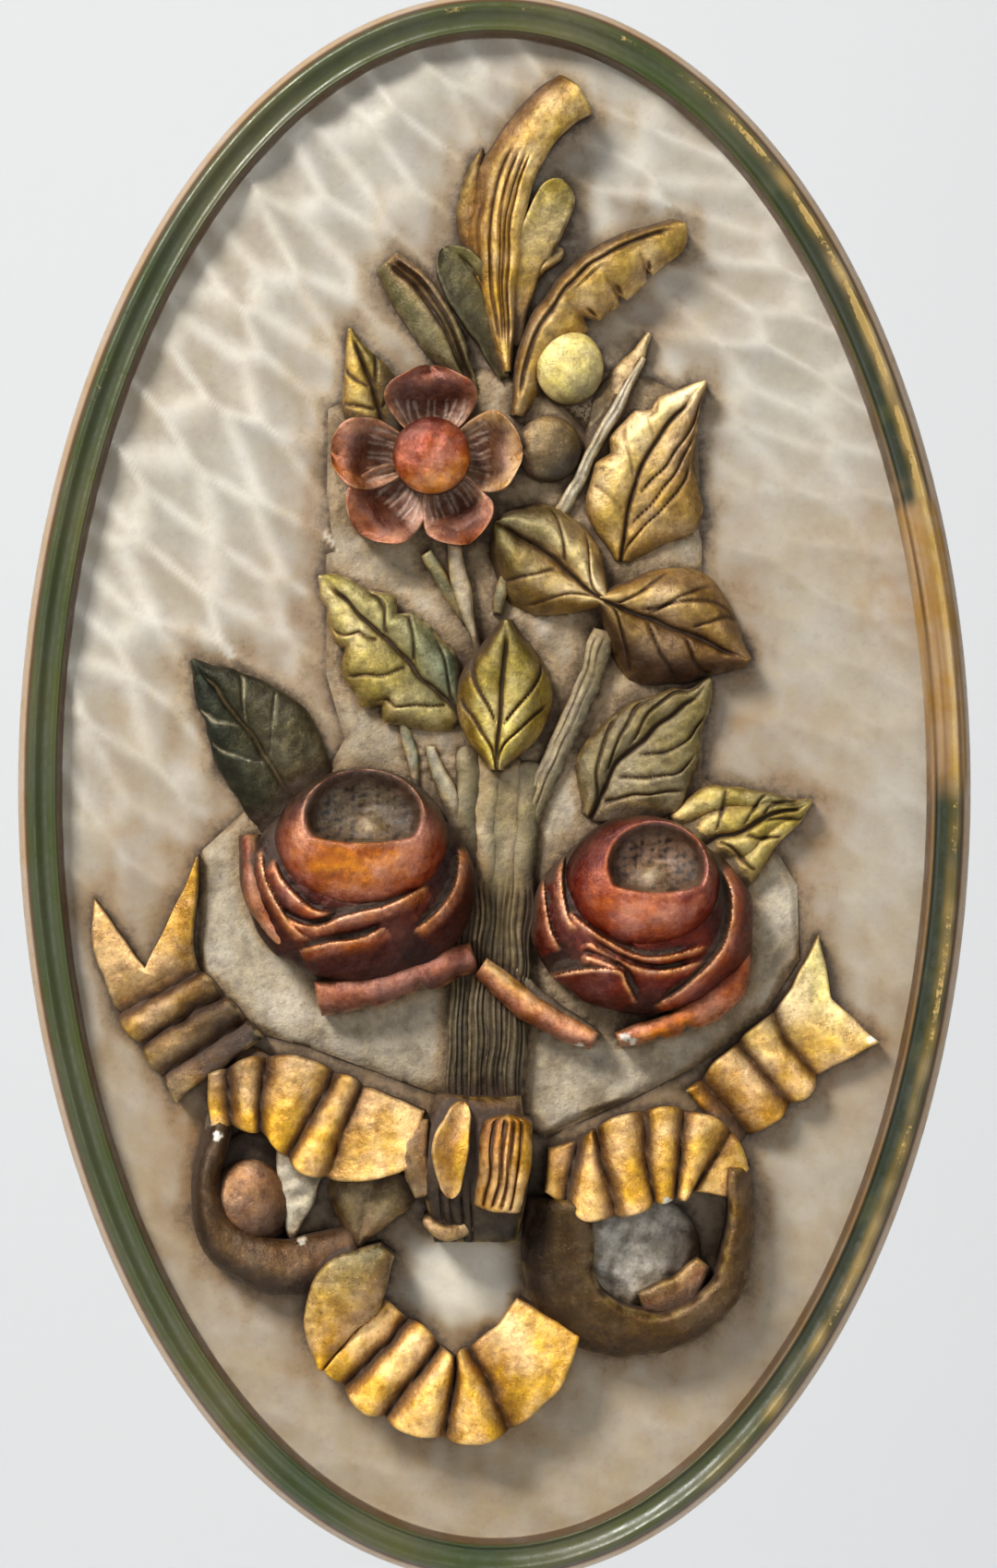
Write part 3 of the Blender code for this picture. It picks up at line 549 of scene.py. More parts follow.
    # Below the strip's crest the colour turns brown, partly patina and partly painted shade; close to the
    # crest it is painted brighter, partly rubbed gilt and partly a painted highlight
    sunken = at(through(rise, grid)) + max(crown, 0.0) - top
    shade_depth = 0.75 if hollow is None else 0.3
    colour = mix(colour, colour * (0.5, 0.42, 0.34), shade_depth * ramp(0.8, 4.0, sunken))
    colour = mix(colour, np.minimum(colour * 1.25, 0.9), ramp(0.9, 0.0, sunken))
    colour = colour * (1 + 0.2 * uneven(px, pz, 9.0, int(length * 5) % 83))[:, None]
    lightened = np.exp(-to_edge / 0.6) * ramp(-0.6, 0.5, uneven(px, pz, 4.0, int(length * 3) % 89))
    colour = mix(colour, rim, 0.7 * lightened)
    # Cuts and creases take the ink. A dark ink is partly patina and partly painted shade in the grooves and
    # creases; a pale ink is paint rubbed through to the gesso
    inked = np.maximum(ramp(*inking, -fine), 0.85 * creased)
    colour = mix(colour, ink, 0.8 * inked)
    # Painted shade: the sides are painted dark, with more darkening towards the foot
    walled = (down > 0.01).astype(float)
    colour = mix(colour, wall, walled * 0.8)
    # A dark cut takes dirt and painted shade; a cut with pale ink is rubbed through to the gesso, so
    # none lies in it
    cut_dirt_and_shade = 0.35 if ink[0] < 0.2 else 0.0
    store(data, (px, height, pz), colour, gilt=gilt * (1 - 0.8 * walled), rub=0.0, clean=clean,
          grime=np.maximum(cut_dirt_and_shade * inked, walled * (0.25 + 0.5 * down)))
    carved.append(data)


def dome(centre, radii, top, edge, tones, lean=90.0, gilt=0.45, rough=0.2, clean=0.0):
    """A rounded boss as fine mesh. The tones are its paint at the crest, on the side that lean faces and on
    the side away from it; the two sides are painted lit and shaded, as painted light and painted shade."""
    size = max(radii) * 2
    count = int(np.clip(size / EVEN, 10, 90))
    data, reach, turn, down = round_block(count, 3)
    x = centre[0] + radii[0] * reach * np.cos(turn)
    z = centre[1] + radii[1] * reach * np.sin(turn)
    height = edge + (top - edge) * np.sqrt(np.clip(1 - reach**2, 0, 1)) + rough * uneven(x, z, 6.0, 21)
    height = height * (1 - down) - SINK * down
    # Painted light and shade: the side that lean faces takes the light tone, the side away the dark one
    toward = reach * np.cos(turn - math.radians(lean))
    colour = mix(mix(tones[2], tones[0], ramp(-0.9, 0.0, toward)), tones[1], ramp(0.0, 0.9, toward))
    colour = colour * (1 + 0.16 * uneven(x, z, 7.0, 22))[:, None]
    # Painted shade: the walls are painted dark umber
    walled = (down > 0.01).astype(float)
    colour = mix(colour, UMBER, walled * 0.7)
    store(data, (x, height, z), colour, gilt=gilt * (1 - 0.8 * walled), rub=0.0, clean=clean,
          grime=walled * (0.2 + 0.5 * down))
    carved.append(data)


def veins(starts, slope, depth=1.1, width=0.5, bend=0.85, side=0, from_rib=0.06):
    """Side veins that leave the midrib at each start and lean towards the tip. A side of 1 or -1 keeps them
    to the right or the left of the leaf."""
    def cut(spot):
        total = np.zeros_like(spot["u"])
        reach = np.abs(spot["v"])
        for start in starts:
            line = (start + slope * reach**bend + 0.02 * np.sin(3 * spot["v"] + 40 * start)) * spot["length"]
            lean = slope * spot["length"] / np.maximum(spot["half"], 2.0)
            distance = (spot["along"] - line) / np.sqrt(1 + lean**2)
            mask = ramp(from_rib, from_rib + 0.1, reach) * ramp(0.97, 0.8, reach)
            if side:
                mask = mask * (spot["v"] * side > 0)
            total = np.minimum(total, groove(distance, depth, width) * mask)
        return total
    return cut


def midrib(depth=1.4, width=0.65):
    """A groove down the middle of a leaf."""
    def cut(spot):
        return groove(spot["side"], depth, width) * ramp(0.95, 0.83, spot["u"])
    return cut


def flutes(places, depth=0.7, width=0.4, start=0.0, end=1.0, wander=0.04):
    """Grooves that run along a strip, at places from -1 at its left to 1 at its right."""
    def cut(spot):
        total = np.zeros_like(spot["u"])
        for place in places:
            sway = wander * np.sin(2 * math.pi * (1.1 * spot["u"] + 2.7 * place))
            distance = (spot["v"] - place - sway) * np.maximum(spot["half"], 1.0)
            total = np.minimum(total, groove(distance, depth, width))
        return total * ramp(start, start + 0.08, spot["u"]) * ramp(end, end - 0.08, spot["u"])
    return cut


def finish_carving(name, material):
    """Joins the carved shapes of one piece, and fixes the piece to the CAD body that it stands for."""
    shapes = [placed(name, data) for data in carved]
    with bpy.context.temp_override(active_object=shapes[0], selected_editable_objects=shapes):
        bpy.ops.object.join()
    piece = shapes[0]
    smooth(piece.data, 50)
    piece.data.materials.clear()
    piece.data.materials.append(material)
    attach(piece, "root")
    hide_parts("flower_carving")
    carved.clear()
    carving_pieces.append(piece)


carved = []
carving_pieces = []
# The corners of the bed's outline
PLATE = [
    (-83.9, -18.6), (-83.9, -58.9), (-72.9, -68.0), (-53.4, -73.2), (-14.4, -87.5), (14.2, -99.2),
    (40.2, -87.5), (58.4, -78.4), (76.6, -64.1), (86.5, -48.5), (85.9, -27.7), (76.6, -12.1), (58.9, 3.5),
    (58.9, 65.9), (57.3, 109.6), (40.2, 117.9), (27.2, 99.7), (10.3, 117.9), (-9.2, 119.2), (-24.8, 116.6),
    (-47.2, 107.5), (-47.7, 65.9), (-47.7, 32.1), (-42.5, 13.9), (-49.5, 0.9), (-71.1, -6.9),
]


def bed():
    """The low bed, with a plain cut edge and an uneven coat of gesso."""
    mesh = bmesh.new()
    corners = [mesh.verts.new((x, z, 0)) for x, z in PLATE]
    face = mesh.faces.new(corners)
    bmesh.ops.triangulate(mesh, faces=[face])
    bmesh.ops.subdivide_edges(mesh, edges=mesh.edges[:], cuts=40, use_grid_fill=True)
    grown = bmesh.ops.extrude_face_region(mesh, geom=mesh.faces[:])["geom"]
    moved = [v for v in grown if isinstance(v, bmesh.types.BMVert)]
    bmesh.ops.translate(mesh, verts=moved, vec=(0, 0, -1))
    data = as_mesh("carved", mesh)
    shape = coordinates(data)
    x, z, down = shape[:, 0], shape[:, 1], -shape[:, 2]
    inwards = np.full(len(x), 99.0)
    for (from_x, from_z), (to_x, to_z) in zip(PLATE, PLATE[1:] + PLATE[:1]):
        side_x, side_z = to_x - from_x, to_z - from_z
        part = np.clip(((x - from_x) * side_x + (z - from_z) * side_z) / (side_x**2 + side_z**2), 0, 1)
        inwards = np.minimum(inwards, np.hypot(x - from_x - part * side_x, z - from_z - part * side_z))
    slope = ramp(-0.5, 3.0 + uneven(x, z, 20, 36), inwards)
    top = 0.3 + 1.7 * slope + 0.25 * uneven(x, z, 14, 31) * slope + 0.12 * uneven(x, z, 3.5, 32) * slope
    height = top * (1 - down) - SINK * down
    colour = mix(GESSO, PALE_BED, 0.5 + 0.5 * uneven(x, z, 24, 33))
    colour = mix(colour, STAINED_BED, ramp(0.2, 0.9, uneven(x, z, 9, 34)) * 0.5)
    colour = mix(BED_EDGE, colour, slope)
    smeared = 0.04 + 0.2 * ramp(-10, 30, z) * (0.6 + 0.4 * uneven(x, z, 10, 35))
    # The bed is dirtier towards its top; its walls take painted shade
    store(data, (x, height, z), colour, gilt=0.0, rub=0.0, clean=0.55, grime=smeared + 0.4 * down)
    carved.append(data)


bed()
stem_paints = [(seen(132, 120, 90), seen(84, 76, 52)), (seen(166, 146, 112), seen(116, 104, 76)),
               (seen(108, 96, 68), seen(150, 132, 98)), (seen(136, 122, 92), seen(86, 78, 54))]
for number, (light, dark) in enumerate(stem_paints):
    share = number / 3
    foot = np.add((-10.6, -93.2), np.multiply(share, (15.6, 0.0)))
    head = np.add((-7.0, 12.0), np.multiply(share, (17.0, -3.6)))
    waist = foot * 0.6 + head * 0.4 + (-0.5 + 0.5 * (number % 2), 0)
    strip([foot, waist, head], (3.2, 3.2, 4.0), (3.2, 3.2, 4.0), (6.4, 6.6, 3.6),
          (seen(76, 66, 44), seen(50, 42, 28), light, dark), crown=0.9, gilt=0.15, rim=seen(168, 148, 110),
          cuts=[flutes((-0.5, 0.05 * number, 0.5), 1.0, 0.4, 0.0, 0.75)], rough=0.2, wave=0.6, soft=1.6,
          ends=(0, 3.0))
strip([(7.9, -12.1), (16.8, 8.2), (25.1, 26.4), (31.1, 44.6)], (3.9, 3.6, 3.4, 3.4), (3.9, 3.6, 3.6, 3.4),
      (4, 5, 6, 7), (seen(150, 134, 104), seen(98, 88, 62), seen(142, 124, 92), seen(96, 84, 56)),
      crown=0.8, gilt=0.15, rim=seen(176, 158, 122), cuts=[flutes((-0.4, 0.2), 0.7, 0.4)], rough=0.25,
      wave=0.6)
strip([(-7.9, -28.2), (-11.3, -9.0), (-18.1, 11.8)], (2.6, 2.3, 2.1), (2.6, 2.3, 2.1), (4, 5.0, 4),
      (GESSO, GREY_GREEN, GREY_GREEN, GESSO), crown=0.8, gilt=0.1, rough=0.4, wave=0.8)
strip([(-2.0, 21.7), (-5.3, 39.9), (-9.2, 55.5), (-11.8, 71.1)], (1.6, 1.8, 2.1, 2.3), (1.6, 1.8, 2.1, 2.3),
      (5, 6, 7, 8), (GREY_GREEN, GESSO, GESSO, seen(170, 150, 128)), crown=1.0, gilt=0.1, rough=0.3, wave=0.8)
gessoed_wood = aged("gessoed_wood", speckle=0.45, rub_tone=RUBBED_GOLD, roughness=0.6, fleck_scale=500.0,
                    mottle=0.28, relief_depth=0.0012)
finish_carving("bed_and_stems", gessoed_wood)


# The top leaves. A tall ribbed plume, a scrolled plume, two blades, a ball and a bud stand at the head of
# the bouquet. They are cut from the same block as the rest and painted olive and gold, rubbed thin.
GOLD = seen(198, 164, 96)
BRIGHT_GOLD = seen(232, 206, 146)
OLD_GOLD = seen(162, 130, 74)
OCHRE = seen(142, 108, 64)
BROWN_GOLD = seen(112, 86, 50)
OLIVE = seen(112, 98, 50)
DARK_OLIVE = seen(64, 58, 32)
YELLOW_GREEN = seen(170, 148, 76)
GREY_OLIVE = seen(110, 102, 68)

strip([(-6.6, 111.6), (-14.2, 125.7), (-22.5, 138.2), (-31.0, 148.0)], (2.1, 5.9, 6.2, 3.4),
      (2.6, 5.7, 6.6, 5.0), (4, 8, 9, 7), (GREY_OLIVE, OLIVE, GREY_OLIVE, seen(120, 90, 60)),
      falls=(2.5, 1.5), cuts=[flutes((0.3, 0.62), 1.7, 0.6, 0.02, 0.98, wander=0.02)],
      rim=seen(168, 158, 112))
strip([(2.7, 115.8), (-1.7, 131.4), (-7.4, 142.6), (-14.4, 152.2)], (1.3, 6.6, 7.6, 4.6),
      (1.3, 5.6, 6.6, 4.6), (5, 8, 9.5, 8), (DARK_OLIVE, OLIVE, DARK_OLIVE, seen(96, 88, 48)), crown=-1.6,
      rim=GREY_OLIVE, ends=(0, 5.0), cuts=[flutes((0.42,), 0.9, 0.4, 0.05, 0.93)])
strip([(5.9, 125.2), (7.9, 143.9), (12.9, 158.2), (19.8, 171.0)], (1.3, 3.6, 5.0, 5.0),
      (1.6, 4.4, 6.2, 5.6), (5, 8, 10, 9), (OLD_GOLD, GOLD, YELLOW_GREEN, OLIVE), crown=-1.2, rim=BRIGHT_GOLD,
      ends=(0, 6.0), falls=(0.0, 1.5))
strip([(-6.9, 150.2), (-7.4, 166.0), (-3.4, 180.3)], (2.0, 3.0, 1.2), (2.6, 2.6, 1.2), (6, 8, 6),
      (OCHRE, OCHRE, OLIVE, OLD_GOLD), ends=(0, 3.0), falls=(2.0, 0.0))
strip([(3.5, 117.4), (1.4, 143.9), (3.2, 168.6), (12.3, 186.6), (23.4, 196.6)], (1.6, 8.8, 8.8, 7.4, 7.2),
      (1.6, 5.2, 7.2, 7.0, 8.2), (5, 9, 11.5, 13, 12),
      (seen(180, 142, 74), seen(232, 190, 106), seen(152, 116, 64), GOLD), crown=2.0, falls=(4.0, 1.0),
      undercut=0.1, ends=(0, 1.5), rim=BRIGHT_GOLD, ink=BROWN_GOLD,
      cuts=[flutes((-0.28, -0.02, 0.22, 0.46), 1.3, 0.5, 0.04, 0.66), flutes((-0.62,), 0.8, 0.5, 0.1, 0.5)])
strip([(25.5, 91.6), (34.5, 110.0), (44.2, 128.5)], (1.8, 6.2, 0.8), (1.8, 3.6, 0.8), (3, 4.0, 4.5),
      (GESSO, GESSO, seen(206, 182, 136), seen(190, 164, 118)), falls=(1.5, 0.5), gilt=0.2)
strip([(16.8, 73.8), (26.0, 91.6), (34.5, 107.5), (42.2, 121.5)], (2.2, 1.9, 1.6, 0.8), (2.2, 1.9, 1.6, 0.8),
      (4, 5.5, 6, 5.5), (GESSO, GREY_GREEN, GESSO, GESSO), gilt=0.1, rough=0.4, cuts=[midrib(0.7, 0.35)])
strip([(9.5, 142.6), (12.9, 148.3), (19.0, 153.4)], (1.6, 3.4, 2.6), (1.6, 3.0, 2.6), (4, 6.5, 4),
      (OLD_GOLD, GOLD, GESSO, BRIGHT_GOLD), ends=(0, 3.0), cuts=[midrib(0.7, 0.5)])
strip([(6.4, 105.4), (10.5, 125.2), (21.7, 141.8), (36.5, 152.2), (54.2, 158.2)], (2.2, 3.4, 3.8, 3.8, 3.0),
      (3.0, 9.2, 13.2, 12.0, 5.2), (5, 10, 13, 13, 11), (OCHRE, GOLD, seen(112, 82, 44), GOLD), ribs=1,
      rib_depth=1.5, crown=1.5, falls=(1.5, 3.0),
      notches=[(1, 0.44, 0.3, 0.03), (1, 0.63, 0.18, 0.02), (1, 0.8, 0.2, 0.02)], undercut=0.2,
      ends=(0, 4.0), rim=BRIGHT_GOLD,
      cuts=[flutes((0.02,), 1.5, 0.7, 0.04, 0.95), flutes((0.16,), 0.6, 0.4, 0.3, 0.9),
            veins((0.46, 0.63, 0.8), 0.02, 1.4, 0.5, side=1, from_rib=0.6)])
# The ball and the bud are painted light on their upper left and dark away from it, as painted light and shade
dome((21.2, 118.6), (9.6, 10.4), 12.5, 7.5, (seen(212, 192, 116), seen(234, 218, 148), OLIVE), lean=120,
     gilt=0.25)
dome((15.4, 95.8), (9.2, 9.4), 9.0, 5.0, (seen(104, 84, 52), seen(150, 126, 84), seen(50, 40, 26)), lean=130)
strip([(-30.6, 98.6), (-34.2, 112.2), (-41.0, 129.5)], (8.2, 9.4, 0.8), (6.2, 7.4, 0.8), (5, 7, 6),
      (YELLOW_GREEN, DARK_OLIVE, GOLD, OLIVE), ribs=2, rib_depth=1.8, falls=(1.5, 1.0),
      cuts=[midrib(), veins((0.2, 0.45), 0.25)])
gilded_leaf = aged("gilded_leaf_paint", speckle=0.65, rub_tone=RUBBED_GOLD, roughness=0.36,
                   fleck_scale=700.0, mottle=0.34, relief_depth=0.0008)
finish_carving("top_leaves", gilded_leaf)


# The side leaves. They fill the bouquet from the flower down to the roses: toothed leaves with a midrib
# and cut side veins, in gold, olive and a green that has gone almost black on the left.
BLACK_GREEN = seen(26, 32, 20)
TEAL = seen(92, 106, 84)
PALE_VEIN = seen(182, 174, 144)

strip([(35.5, 64.3), (37.6, 77.6), (41.5, 90.6), (48.5, 101.8), (59.6, 114.5)], (2.1, 11.8, 11.8, 9.6, 0.8),
      (3.6, 20.2, 17.6, 9.8, 0.8), (4, 8, 9, 9, 8), (GOLD, OLD_GOLD, BRIGHT_GOLD, OCHRE), ribs=2,
      rib_depth=2.4, falls=(1.5, 1.5), notches=[(-1, 0.5, 0.2, 0.06), (-1, 0.78, 0.25, 0.05)], wave=0.5,
      cuts=[midrib(), veins((0.0, 0.14, 0.3), 0.68, bend=1.15, side=1),
            veins((0.2, 0.42, 0.62), 0.16, depth=0.7, side=-1)])
strip([(-54.7, -6.9), (-64.6, 8.2), (-74.2, 21.7), (-85.8, 36.4)], (13.0, 13.0, 9.9, 0.8),
      (10.4, 17.2, 13.0, 0.8), (5, 8, 8.5, 6),
      (seen(50, 48, 28), seen(100, 90, 62), BLACK_GREEN, seen(36, 36, 20)), ribs=2, rib_depth=2.2,
      falls=(1.0, 1.5), notches=[(-1, 0.72, 0.2, 0.06)], ink=PALE_VEIN, rim=seen(84, 84, 56), gilt=0.65,
      wave=0.7, cuts=[midrib(1.1, 0.5), veins((0.3, 0.5), 0.3, 0.9, 0.45)])
strip([(27.2, -8.0), (34.5, 5.6), (46.1, 17.5), (61.4, 30.2)], (3.1, 11.4, 9.0, 0.8),
      (13.0, 21.3, 16.1, 0.8), (5, 8, 9, 8),
      (seen(122, 108, 74), seen(150, 134, 98), seen(104, 88, 46), OLIVE), ribs=2, rib_depth=2.4,
      falls=(1.0, 1.5), wave=0.7, cuts=[midrib(), veins((0.04, 0.22, 0.42), 0.5, bend=1.2)], gilt=0.35,
      rim=YELLOW_GREEN)
strip([(53.7, -17.8), (66.2, -12.6), (77.1, -8.5), (89.6, -4.0)], (12.0, 14.0, 8.2, 0.8),
      (10.4, 15.6, 8.2, 0.8), (5, 9, 9, 7),
      (seen(196, 172, 92), YELLOW_GREEN, seen(88, 78, 40), YELLOW_GREEN), ribs=4, rib_depth=2.0,
      falls=(0.8, 1.2), ink=DARK_OLIVE, wave=0.8, cuts=[midrib(), veins((0.2, 0.42, 0.62), 0.3)])
strip([(-8.7, 19.6), (-19.1, 30.0), (-28.7, 39.9), (-38.9, 49.8), (-50.0, 60.2)],
      (5.2, 16.6, 17.2, 10.2, 0.8), (2.1, 10.9, 11.8, 8.8, 0.8), (5, 9, 10, 9, 8),
      (seen(150, 132, 66), TEAL, seen(190, 170, 108), seen(144, 128, 64)), ribs=2, rib_depth=2.6,
      falls=(1.5, 1.0), rim=BRIGHT_GOLD, wave=0.8,
      notches=[(-1, 0.33, 0.2, 0.06), (-1, 0.67, 0.22, 0.06), (-1, 0.87, 0.25, 0.05), (1, 0.6, 0.3, 0.05)],
      undercut=0.15, cuts=[midrib(), veins((0.1, 0.34, 0.54), 0.26, bend=1.2)])
strip([(31.3, 52.1), (20.7, 60.7), (10.3, 69.0), (0.1, 74.7)], (2.1, 15.1, 16.1, 7.2), (2.1, 12.0, 12.5, 5.2),
      (13, 13, 12, 9), (GOLD, BRIGHT_GOLD, OLIVE, GREY_OLIVE), crown=2.5, ribs=2, rib_depth=5.0,
      falls=(6.0, 3.0), undercut=0.2, ends=(0, 4.0), cuts=[midrib(), veins((0.08, 0.38), 0.4, bend=1.1)])
strip([(29.2, 52.9), (42.8, 47.7), (56.3, 42.5), (72.0, 35.6)], (2.1, 15.6, 16.6, 1.6),
      (2.1, 17.2, 14.6, 1.6), (13, 13, 12, 8),
      (seen(206, 172, 108), seen(100, 74, 40), seen(138, 106, 58), seen(100, 68, 40)), crown=2.5, ribs=2,
      rib_depth=5.0, falls=(3.0, 6.0), undercut=0.2,
      cuts=[midrib(), veins((0.04, 0.3, 0.52), 0.34, bend=0.9), veins((0.16,), 0.7, side=-1)])
strip([(0.7, 5.1), (1.4, 17.8), (2.5, 32.1), (3.5, 47.1)], (2.1, 11.6, 11.8, 1.6), (2.1, 12.7, 13.2, 2.1),
      (10, 12, 12, 10), (seen(224, 200, 104), seen(206, 184, 96), seen(112, 96, 48), seen(132, 116, 58)),
      crown=3.0, ribs=2, rib_depth=2.5, falls=(3.5, 3.5), undercut=0.2,
      cuts=[midrib(), veins((0.02, 0.26), 0.5, depth=1.4, bend=0.9)])
strip([(-21.0, -4.8), (-24.0, 11.0), (-28.0, 26.0)], (1.0, 1.6, 1.0), (1.0, 1.6, 1.0), (3, 4, 3),
      (GESSO, GREY_GREEN, GREY_GREEN, TEAL), gilt=0.1)
finish_carving("side_leaves", gilded_leaf)


# The flower. Five cupped petals stand round a domed eye, on two sepals. The copper colour is rubbed
# through to grey gesso in hair lines that run out from the eye.
COPPER = seen(174, 104, 68)
PALE_COPPER = seen(214, 156, 110)
MAROON = seen(92, 50, 36)
HAIR_LINE = seen(168, 144, 128)
FLOWER_BASE = seen(140, 112, 94)
FLOWER_CENTRE = (-17.6, 93.4)
# Each petal's direction in degrees, its reach and half width, and the paint of its lip
PETALS = [
    (91.0, 25.4, 12.4, seen(150, 80, 54)), (4.0, 25.6, 11.0, seen(192, 146, 84)), (-66.0, 26.6, 9.8, COPPER),
    (-133.0, 29.6, 11.0, COPPER), (178.0, 28.4, 9.8, seen(190, 118, 78)),
]
# A petal's half width from base to tip, as shares
PETAL_SHAPE = (0.35, 0.8, 1.02, 1.04, 0.86)

strip([(-7.9, 47.2), (-13.4, 57.6), (-19.1, 66.4)], (1.5, 2.3, 1.8), (1.3, 1.6, 1.8), (5, 6, 7),
      (GREY_GREEN, GREY_OLIVE, GREY_OLIVE, GREY_GREEN), gilt=0.2)
strip([(1.2, 49.2), (2.7, 57.6), (6.4, 65.9)], (1.5, 2.0, 1.5), (1.3, 1.8, 1.5), (5, 6, 7),
      (GREY_GREEN, GREY_OLIVE, GREY_OLIVE, GREY_GREEN), gilt=0.2)
for degrees, reach, half_width, lip in PETALS:
    out_x = math.cos(math.radians(degrees))
    out_z = math.sin(math.radians(degrees))
    spine = [np.add(FLOWER_CENTRE, np.multiply((out_x, out_z), reach * share)) for share in (0.2, 0.6, 1.0)]
    widths = [half_width * share for share in PETAL_SHAPE]
    strip(spine, widths, widths, (9.0, 8.0, 9.5, 14.5, 13.0), (FLOWER_BASE, FLOWER_BASE, lip, lip),
          crown=-4.5, undercut=0.25, rim=PALE_COPPER, ink=HAIR_LINE, gilt=0.3, soft=1.4,
          ends=(0, half_width * 0.75),
          cuts=[flutes(np.linspace(-0.75, 0.75, 8), 0.3, 0.38, 0.1, 0.58)], inking=(0.02, 0.2),
          hollow=MAROON, clean=0.8)
# The eye is painted bright on its lower right as a painted highlight, and darker red away from it
dome(FLOWER_CENTRE, (10.9, 10.7), 18.5, 12.5, (seen(164, 82, 50), seen(212, 138, 76), seen(116, 50, 34)),
     lean=-70, rough=0.4)
copper_paint = aged("copper_petal_paint", speckle=0.65, rub_tone=PALE_COPPER, roughness=0.32,
                    fleck_scale=700.0, mottle=0.36, relief_depth=0.0008)
finish_carving("five_petalled_flower", copper_paint)


# The two roses. Each has a round closed heart with a hollow bud cup towards its top, rolled petal edges
# round it and broad outer petals below, in a copper red rubbed with gold.
CRIMSON = seen(118, 44, 26)
# The dark red of painted shade on the roses
SHADE_RED = seen(42, 18, 10)
ROSE_COPPER = seen(172, 92, 62)
ROSE_LIGHT = seen(224, 162, 116)
CUP_SPECK = seen(40, 32, 26)
OLD_GESSO = seen(166, 146, 112)
# The cup's paler dust and painted light low down, and the painted shade under its lip
CUP_DUST_AND_LIGHT = seen(132, 112, 92)
UNDER_LIP_SHADE = seen(70, 44, 30)
HEART_STEP = 0.4
PETAL_STEP = 0.42
HEART_SEAT = 12.0
RIM_STEPS = 80


def globe(centre, radii, cup_centre, cup_radii, edge, back, front, depth, tones, lump):
    """The closed heart of a rose. The tones are its cup's floor, its back, its front, the painted highlight
    on its front and the cup's thin rim, and lump is the place of a knob of old gesso in the cup."""
    count = int(max(radii) * 2 / HEART_STEP)
    data, reach, turn, down = round_block(count, 2)
    c, s = np.cos(turn), np.sin(turn)
    inner = 0.5
    share = np.clip(reach / inner, 0, 1)
    out = np.clip((reach - inner) / (1 - inner), 0, 1)
    straight = np.where(s < -0.45, -0.45 + (s + 0.45) * 0.3, s)
    lip_x, lip_z = cup_centre[0] + cup_radii[0] * c, cup_centre[1] + cup_radii[1] * straight * 1.15
    outer_x, outer_z = centre[0] + radii[0] * c, centre[1] + radii[1] * s
    in_cup = reach <= inner
    x = np.where(in_cup, cup_centre[0] + (lip_x - cup_centre[0]) * share, lip_x + (outer_x - lip_x) * out)
    z = np.where(in_cup, cup_centre[1] + (lip_z - cup_centre[1]) * share, lip_z + (outer_z - lip_z) * out)
    lip_rise = back + (front - back) * (1 - s) / 2
    wall = edge + (lip_rise - edge) * np.sin((1 - out) * math.pi / 2) ** 0.85
    floor = back + (lip_rise - back) * 0.35 - depth * (1 - share**2)
    knob = np.exp(-(((x - lump[0]) / 4.0) ** 2) - ((z - lump[1]) / 3.0) ** 2)
    height = np.where(in_cup, floor + (lip_rise - floor) * ramp(0.8, 1.0, share) + 2.5 * knob, wall)
    height = height + np.where(in_cup, 0.45, 0.2) * uneven(x, z, 6, 41)
    height = height * (1 - down) - SINK * down
    colour = mix(tones[1], tones[2], ramp(0.35, -0.45, (z - cup_centre[1]) / radii[1]))
    # Painted highlight: a bright patch on the heart's front, just below its cup and a little to the left
    from_shine = (x - cup_centre[0] + 4) / (radii[0] * 0.7)
    shine = np.exp(-(from_shine**2) - ((out - 0.3) / 0.32) ** 2) * ramp(0.2, -0.2, s)
    colour = mix(colour, tones[3], shine * (0.8 + 0.3 * uneven(x, z, 6, 42)))
    # Painted shade: the heart darkens to dark red towards its outer edge
    colour = mix(colour, SHADE_RED, 0.75 * ramp(0.62, 1.0, out))
    speckled = uneven(x, z, 2.6, 43) + 0.6 * uneven(x, z, 5.0, 44)
    lining = mix(mix(tones[0], CUP_SPECK, ramp(-0.1, 0.9, speckled)), OLD_GESSO, 0.9 * knob)
    # The cup is paler low down, partly dust and partly painted light, and darker in a ring under its lip,
    # most of all under the upper lip, as painted shade
    lining = mix(lining, CUP_DUST_AND_LIGHT, 0.6 * ramp(0.1, -0.7, s * share) * ramp(0.6, -0.4, speckled))
    lining = mix(lining, UNDER_LIP_SHADE, 0.85 * ramp(0.72, 0.9, share + 0.15 * s))
    colour = mix(colour, lining, in_cup * ramp(1.0, 0.9, share))
    colour = mix(colour, tones[4], np.exp(-(((reach - inner - 0.01) / 0.02) ** 2)) * 0.8)
    # The cup floor takes some dirt, and the walls painted shade
    store(data, (x, height, z), colour, gilt=np.where(in_cup, 0.05, 0.5 - 0.3 * shine), rub=0.0, clean=0.6,
          grime=np.maximum(0.3 * in_cup * ramp(0.98, 0.7, share) * (1 - knob), 0.6 * down))
    carved.append(data)


